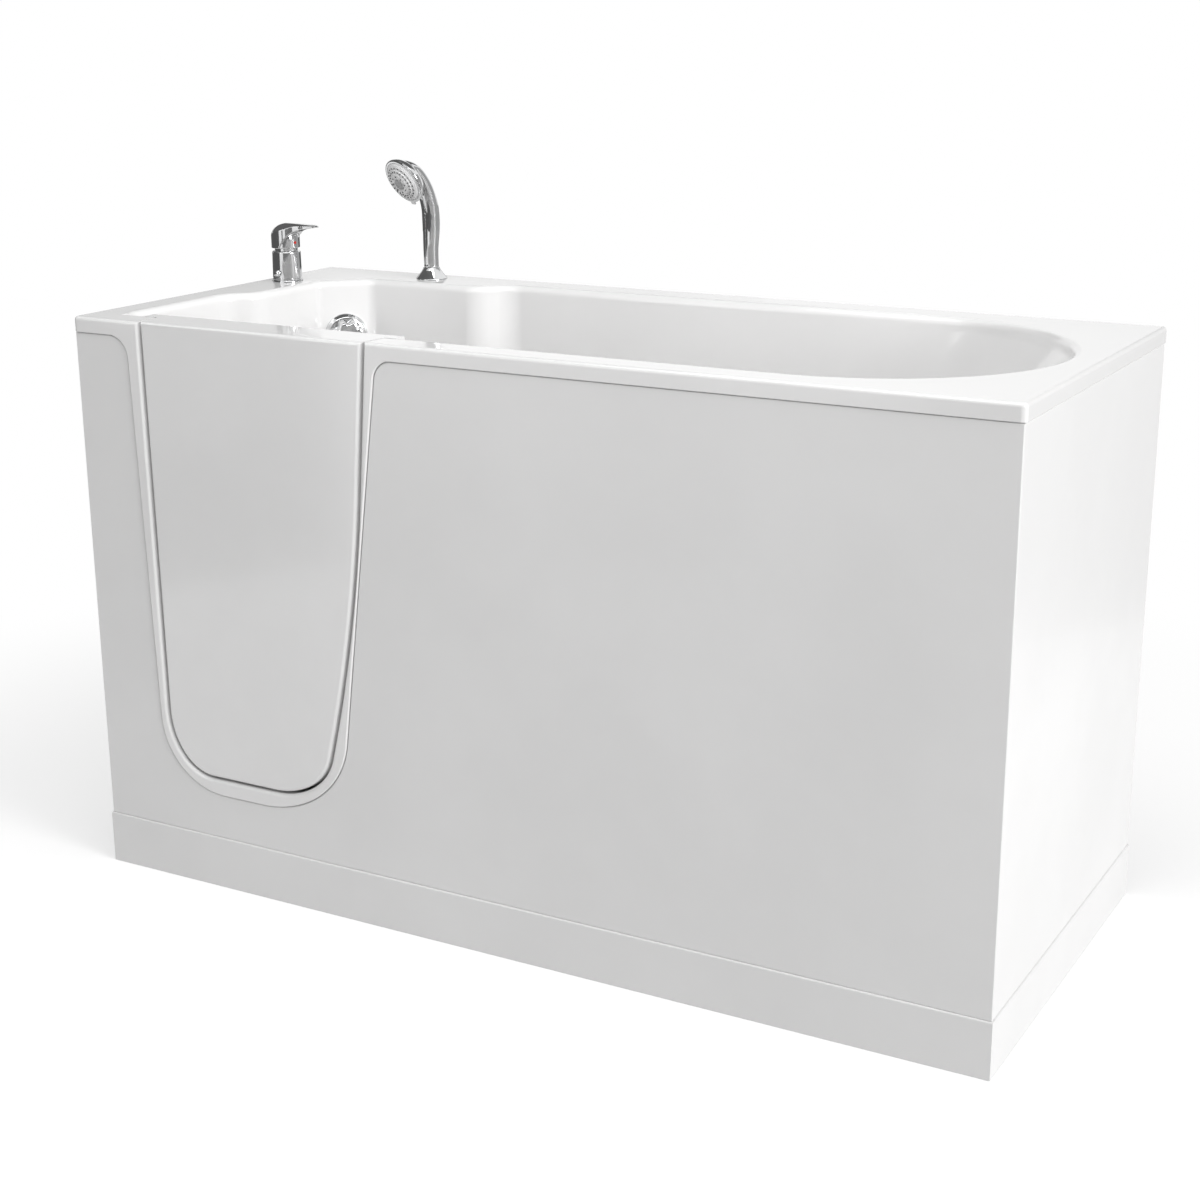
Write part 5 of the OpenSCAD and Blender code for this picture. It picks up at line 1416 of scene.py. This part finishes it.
@dataclass
class Shower:
    """The hand shower in its holder."""

    x: float = 255.0
    y: float = 605.0
    holder_r: float = 26.5
    holder_height: float = 20.0
    bore: float = 12.3
    end_r: float = 12.0
    head_r: float = 40.5
    turn: float = 18.0
    out: float = 65.0
    up: float = 162.0
    tilt: float = 29.0
    front: float = -13.0
    face_radius: float = 60.0
    rows: tuple = ((14.5, 8), (22.5, 22), (28.4, 22))
    grip_low: float = 80.0
    grip_high: float = 138.0
    grip_side: float = 34.0
    grip_half: float = 14.0

    def stand(self) -> Matrix:
        """Moves to the handset's frame, with x towards its head."""
        return shift(self.x, self.y, RIM) @ spin(-90 - self.turn, "Z")

    def face(self) -> Matrix:
        """Moves to the spray face's frame, with z out of it."""
        return self.stand() @ shift(self.out, 0, self.up) @ spin(90 + self.tilt, "Y")

    def sections(self, count: int) -> list[tuple[float, ...]]:
        """The handle's sections, smoothed between the main ones: out, up, half width, half depth, lean."""
        h, e = self.holder_height, self.end_r
        main = np.array([
            [0, h + 4.5, 12.8, 12, 0], [0.3, 50, 13.2, 12.4, 0], [-1.5, 80, 14.6, 13.8, 0],
            [-1.8, 100, 15.2, 14.2, 1], [-0.8, 118, 15.4, 13.8, 7], [3.5, 136, 16, 13, 17],
            [10.5, 153, 17.8, 12.4, 30], [20.5, 168.5, 20, 12, 43], [32, 181.5, 22, 11.4, 53],
            [43.5, 190.5, 22, 10, 60], [55, 196, 18, 7.6, 63], [64, 199, 10, 4, 64]], float)
        found = [(0, -16, e, e, 0), (0, h + 0.4, e, e, 0), (0, h + 0.8, e + 0.5, e + 0.3, 0),
                 (0, h + 2.4, e + 0.8, e + 0.3, 0)]
        ends = np.vstack([2 * main[0] - main[1], main, 2 * main[-1] - main[-2]])
        for i in range(len(main) - 1):
            p0, p1, p2, p3 = ends[i:i + 4]
            for t in np.linspace(0, 1, count, endpoint=False):
                found.append(tuple(0.5 * (2 * p1 + (p2 - p0) * t + (2 * p0 - 5 * p1 + 4 * p2 - p3) * t * t
                                          + (3 * p1 - p0 - 3 * p2 + p3) * t ** 3)))
        return found + [tuple(main[-1])]

    @staticmethod
    def around(section: Sequence[float], angle: float, proud: float = 0.0) -> list[float]:
        """A point on the handle's surface, or a little proud of it."""
        out, up, wide, deep, lean = section
        along = (deep + proud) * math.cos(angle)
        across = (wide + proud) * math.sin(angle)
        tip = math.radians(lean)
        return [out + along * math.cos(tip), across, up - along * math.sin(tip)]

    def dome(self, r: float) -> float:
        """The face's height at a radius, from its crown."""
        return -r * r / (2 * self.face_radius)

    def grip(self, side: float) -> np.ndarray:
        """One dark grip let into the handle's front.

        Args:
            side: The side of the handle's middle that it lies on, 1 or -1.

        Returns:
            Its rings, from its round foot to its point.
        """
        rings = []
        chosen = [s for s in self.sections(24) if self.grip_low < s[1] < self.grip_high and s[0] < 8]
        for i, s in enumerate(chosen):
            t = i / (len(chosen) - 1)
            wide = max(0.03, min(1.0, math.sqrt(max(0.0, 1 - (1 - t / 0.3) ** 2))) if t < 0.3
                       else 1 - ((t - 0.3) / 0.7) ** 1.7)
            middle = side * math.radians(self.grip_side + 6 * t)
            arcs = [middle + math.radians(self.grip_half) * wide * (k / 5 - 1) for k in range(11)]
            outer = [self.around(s, a, 0.35 * (1 - (k / 5 - 1) ** 4)) for k, a in enumerate(arcs)]
            rings.append(np.array(outer + [self.around(s, a, -1.2) for a in reversed(arcs)]))
        return rings

    def handset(self, shop: Workshop) -> None:
        """The handle and head, cast as one, with the dark grips let into its front."""
        rings = [np.array([self.around(s, 2 * math.pi * i / 48) for i in range(48)]) for s in self.sections(7)]
        body = Skin().loft(rings).moved(turned(self.stand()))
        r, f = self.head_r, self.front
        body.merge(Skin().lathe([
            (0, f - 21), (10, f - 20.7), (18, f - 19.6), (25, f - 17.6), (31, f - 14.4), (35.6, f - 10.6),
            (r - 2.2, f - 6.8), (r - 0.8, f - 3.8), (r - 0.2, f - 1.6), (r, f - 0.5), (r - 0.5, f), (32.5, f),
            (32.5, f - 7), (0, f - 7)], 96).moved(turned(self.face())))
        shop.dress(cast(body.piece("handset_casting"), voxel=0.7, rounds=10), "handset_body")
        for side, name in ((1, "handset_grip_left"), (-1, "handset_grip_right")):
            grip = Skin().loft(self.grip(side)).moved(turned(self.stand()))
            shop.dress(crisp(grip.piece(name), 40), "handset_body", "dark_rubber")

    def face_profile(self) -> list[Point]:
        """The spray plate's section: a domed face with a groove at each ring of nozzles."""
        f, edge, dome = self.front, self.head_r - 5, self.dome
        low, mid, high = (r for r, _ in self.rows)
        profile = [(0, f), (edge - 0.4, f), (edge, f + 0.4), (edge, dome(edge) - 0.6), (edge - 0.5, dome(edge)),
                   (high + 4.2, dome(high + 2.6)), (high + 3.4, dome(high + 2.6))]
        for r in (high, mid):
            profile += [(r + 2.6, dome(r) - 0.5), (r + 2.1, dome(r)), (r - 2.3, dome(r)), (r - 2.7, dome(r) - 0.5)]
        return profile + [
            (low + 4.5, dome(low + 4.5)), (low + 2.2, dome(low)), (low - 2.2, dome(low)), (10.9, dome(low) + 0.3),
            (10.2, dome(low) - 0.6), (9.6, dome(low) - 0.6), (0, -1.6)]

    def build(self, shop: Workshop) -> None:
        """Builds the holder, the handset and its spray face."""
        r, h, b = self.holder_r, self.holder_height, self.bore
        shop.lathe("shower_holder_cone", "shower_holder", [
            (b, 0), (r - 0.4, 0), (r, 0.5), (r, 1.5), (r - 0.5, 2.3), (r - 3.2, 5.0), (r - 9.6, 13.4),
            (15.0, h - 3.2), (14.4, h - 2), (14.1, h - 0.6), (13.6, h), (12.9, h - 0.2), (b, h - 0.8)],
            turned(shift(self.x, self.y, RIM)), degrees=32)
        self.handset(shop)
        face, f, r = turned(self.face()), self.front, self.head_r
        edge = r - 5
        shop.lathe("spray_face", "spray_plate", self.face_profile(), face, degrees=32)
        shop.lathe("spray_face_middle", "spray_plate", [
            (0, -3), (9.4, -3), (9.4, -1.1), (9, -0.7), (6, -0.3), (0, 0)], face, 64, 32, "seal_rubber")
        ring = Skin().lathe([
            (edge + 0.3, f + 0.3), (r - 0.5, f + 0.3), (r, f + 0.7), (r - 0.1, f + 1.3), (r - 0.9, f + 2.2),
            (r - 2.2, f + 2.4), (edge + 0.8, f + 2.4), (edge + 0.3, f + 2)], 96)
        ring.merge(Skin().box((r - 2.6, -5, f + 0.3), (r + 4, 5, f + 2.4)))
        shop.dress(eased(ring.moved(face).piece("spray_selector_ring"), 0.4, 50), "spray_selector")
        upright = Matrix(face.tolist())
        jets = nozzle_recipe(upright.to_3x3().to_4x4(), [(r, n, self.dome(r)) for r, n in self.rows])
        tips = marks("spray_nozzle_tips", [tuple(upright.translation)])
        shop.dress(jets.run(tips, shop.palette.material("dark_rubber")), "spray_nozzles")
        shop.refine(0.6, "holder_sleeve")


# ---- under the tub ------------------------------------------------------------------------------


@dataclass
class Underframe:
    """The welded frame, the feet and the pipes under the shell."""

    threads: Recipe
    stud_x: tuple[float, ...] = (90.0, 760.0, 1410.0)
    stud_y: tuple[float, ...] = (140.0, 505.0)
    stud_r: float = 6.0
    pad_r: float = 28.0

    def build(self, shop: Workshop) -> None:
        """Eases the frame, builds the feet, and eases the pipes."""
        shop.refine(1.4, "front_rail", "back_rail", "cross_rails", "corner_posts", "seat_props", "seat_bearers")
        shop.refine(0.5, "foot_locknuts", "plinth_brackets", "panel_clips")
        low, high = (corner.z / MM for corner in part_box("foot_studs"))
        feet = [(x, y) for x in self.stud_x for y in self.stud_y]
        rods = self.threads.run(marks("foot_threads", [(x, y, low) for x, y in feet]),
                                shop.palette.material("zinc_steel"), Radius=self.stud_r, Length=high - low)
        shop.dress(rods, "foot_studs")
        pads, r = Skin(), self.pad_r
        profile = [(0, 0), (r - 0.8, 0), (r, 0.8), (r - 0.4, 3), (r - 3.2, 8.4), (r - 4, 9.6), (r - 5.2, 10),
                   (12.5, 10), (11.4, 10.8), (11, 12), (11, 17.2), (10.2, 18), (6.05, 18), (6.05, 4), (0, 4)]
        for x, y in feet:
            pads.merge(Skin().lathe(profile, 56).moved(turned(shift(x, y, 0))))
        shop.dress(crisp(pads.piece("foot_pads_moulded"), 35), "foot_pads")
        shop.refine(0.3, "overflow_pipe", "popup_cable", "filler_pipe", degrees=40)
        shop.refine(0.4, "copper_tails", degrees=40)


# ---- studio -------------------------------------------------------------------------------------


@dataclass(frozen=True)
class Lamp:
    """One soft lamp: where it stands, what it looks at, its size and its power."""

    name: str
    place: tuple[float, float, float]
    aim: tuple[float, float, float]
    size: float
    watts: float


@dataclass
class Studio:
    """Camera, lamps, floor and backdrop."""

    eye: tuple[float, float, float] = (1.462, -2.646, 1.366)
    turn: tuple[float, float, float] = (73.4195, 0.2920, 29.0718)
    lens: float = 60.99
    lamps: tuple[Lamp, ...] = (
        Lamp("right_key", (7.0, -1.7, 2.5), (0.2, 0.0, 0.5), 3.0, 372.0),
        Lamp("front_fill", (-2.6, -3.4, 2.0), (-0.2, 0.0, 0.5), 2.4, 19.0),
        Lamp("top_soft", (0.05, -0.6, 2.5), (0.05, 0.2, 0.8), 1.6, 18.0),
    )
    flags: tuple = (  # name, ends, low and high edge, grey, and how far back the high edge lies
        ("left_flag", ((-1.45, -1.93), (-2.9, 0.14)), 0.02, 2.4, 0.11, 0.0),
        ("side_flag", ((-2.9, 0.14), (-1.44, 1.09)), 0.02, 1.03, 0.12, 0.0),
        ("side_band", ((-2.9, 0.14), (-1.44, 1.09)), 1.03, 1.27, 0.62, 0.0),
        ("high_flag", ((-2.9, 0.14), (-1.44, 1.09)), 1.27, 2.2, 0.12, 0.0),
        ("back_flag", ((-1.44, 1.09), (-0.33, 1.28)), 0.02, 1.0, 0.10, 0.0),
        ("front_flag", ((-0.28, -2.83), (1.75, -0.62)), 0.02, 2.2, 0.20, 0.0),
        ("top_flag", ((-2.4, -0.4), (-0.2, -0.4)), 1.75, 1.75, 0.14, 1.9),
        ("right_flag", ((2.3, 0.0), (0.2, 3.0)), 0.02, 2.2, 0.42, 0.0),
    )
    sky: float = 0.42
    ground: float = 9.0
    ground_drop: float = 0.0005
    ground_grey: float = 0.62
    ground_glow: float = 0.52
    fade: tuple[float, float] = (1.1, 2.0)

    def camera(self) -> None:
        """The photograph's viewpoint."""
        data = bpy.data.cameras.new("viewpoint")
        data.lens, data.sensor_width, data.clip_end = self.lens, 36.0, 60.0
        seat = link("viewpoint", data)
        seat.location = self.eye
        seat.rotation_euler = [math.radians(a) for a in self.turn]
        bpy.context.scene.camera = seat

    def lights(self) -> None:
        """The soft lamps."""
        for lamp in self.lamps:
            data = bpy.data.lights.new(lamp.name, "AREA")
            data.shape, data.size, data.energy = "DISK", lamp.size, lamp.watts
            seat = link(lamp.name, data)
            seat.location = lamp.place
            seat.visible_camera = False
            aim = Vector(lamp.aim) - Vector(lamp.place)
            seat.rotation_euler = aim.to_track_quat("-Z", "Y").to_euler()

    def world(self) -> None:
        """A white surrounding to the eye and in reflections, and a softer one as light."""
        world = bpy.data.worlds.new("surrounding")
        bpy.context.scene.world = world
        world.use_nodes = True
        tree = Nodes(world.node_tree)
        strength = tree.ramp(tree.math("MAXIMUM", *tree.seen()), 0.0, 1.0, self.sky, 1.0, "LINEAR")
        tree.fill(world.node_tree.nodes["Background"], {"Strength": strength, "Color": (1, 1, 1, 1)})

    @staticmethod
    def sheet(name: str, corners: Sequence[Sequence[float]]) -> tuple:
        """A flat stage piece, and its material's tree, Principled shader and output."""
        mesh = bpy.data.meshes.new(name)
        mesh.from_pydata(corners, [], [(0, 1, 2, 3)])
        piece = link(name, mesh)
        material, *parts = new_material(name)
        piece.data.materials.append(material)
        return piece, *parts

    def floor(self) -> None:
        """A pale floor that keeps the tub's shadow and is white further out."""
        g, z = self.ground, -self.ground_drop
        _, tree, shader, out = self.sheet("studio_floor", [(-g, -g, z), (g, -g, z), (g, g, z), (-g, g, z)])
        tree.fill(shader, {"Base Color": (*[self.ground_grey] * 3, 1), "Roughness": 0.9, "Specular IOR Level": 0.0})
        glow = tree.node("ShaderNodeEmission", {"Strength": self.ground_glow})
        white = tree.node("ShaderNodeEmission", {"Strength": 1.0})
        both = tree.node("ShaderNodeAddShader", {0: shader.outputs[0], 1: glow.outputs[0]})
        place = tree.node("ShaderNodeTexCoord").outputs["Object"]
        away = tree.node("ShaderNodeVectorMath", {0: place}, operation="LENGTH").outputs["Value"]
        seen, shone = tree.seen()
        near = tree.blend(tree.ramp(away, *self.fade), both, white)
        plain = tree.blend(seen, shader, near)
        tree.fill(out, {"Surface": tree.blend(shone, plain, white).outputs[0]})

    def cards(self) -> None:
        """Grey cards that only shine in the plating, as a studio's flags do."""
        for name, ((x0, y0), (x1, y1)), low, high, grey, dy in self.flags:
            card, tree, _, out = self.sheet(name, [
                (x0, y0, low), (x1, y1, low), (x1, y1 + dy, high), (x0, y0 + dy, high)])
            glow = tree.node("ShaderNodeEmission", {"Color": (1.0, 1.0, 1.0, 1.0), "Strength": grey})
            tree.fill(out, {"Surface": glow.outputs[0]})
            card.visible_camera = card.visible_diffuse = card.visible_shadow = False

    def build(self) -> None:
        """Sets the whole stage."""
        bpy.context.scene.view_settings.view_transform = "Standard"
        self.camera()
        self.lights()
        self.world()
        self.floor()
        self.cards()


def main() -> None:
    """Builds the sub-assemblies in order and dresses what is left."""
    logging.basicConfig(level=logging.INFO, format="%(name)s %(message)s")
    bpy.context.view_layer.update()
    Studio().build()
    shop = Workshop()
    doorway, notch = Doorway(), Notch()
    TubShell(doorway, notch).build(shop)
    Panels(notch).build(shop)
    Door(doorway).build(shop)
    Hardware(screw_recipe()).build(shop)
    Waste().build(shop)
    Overflow().build(shop)
    Mixer().build(shop)
    Shower().build(shop)
    Underframe(thread_recipe()).build(shop)
    shop.finish_rest()
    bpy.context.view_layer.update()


if __name__ == "__main__":
    main()
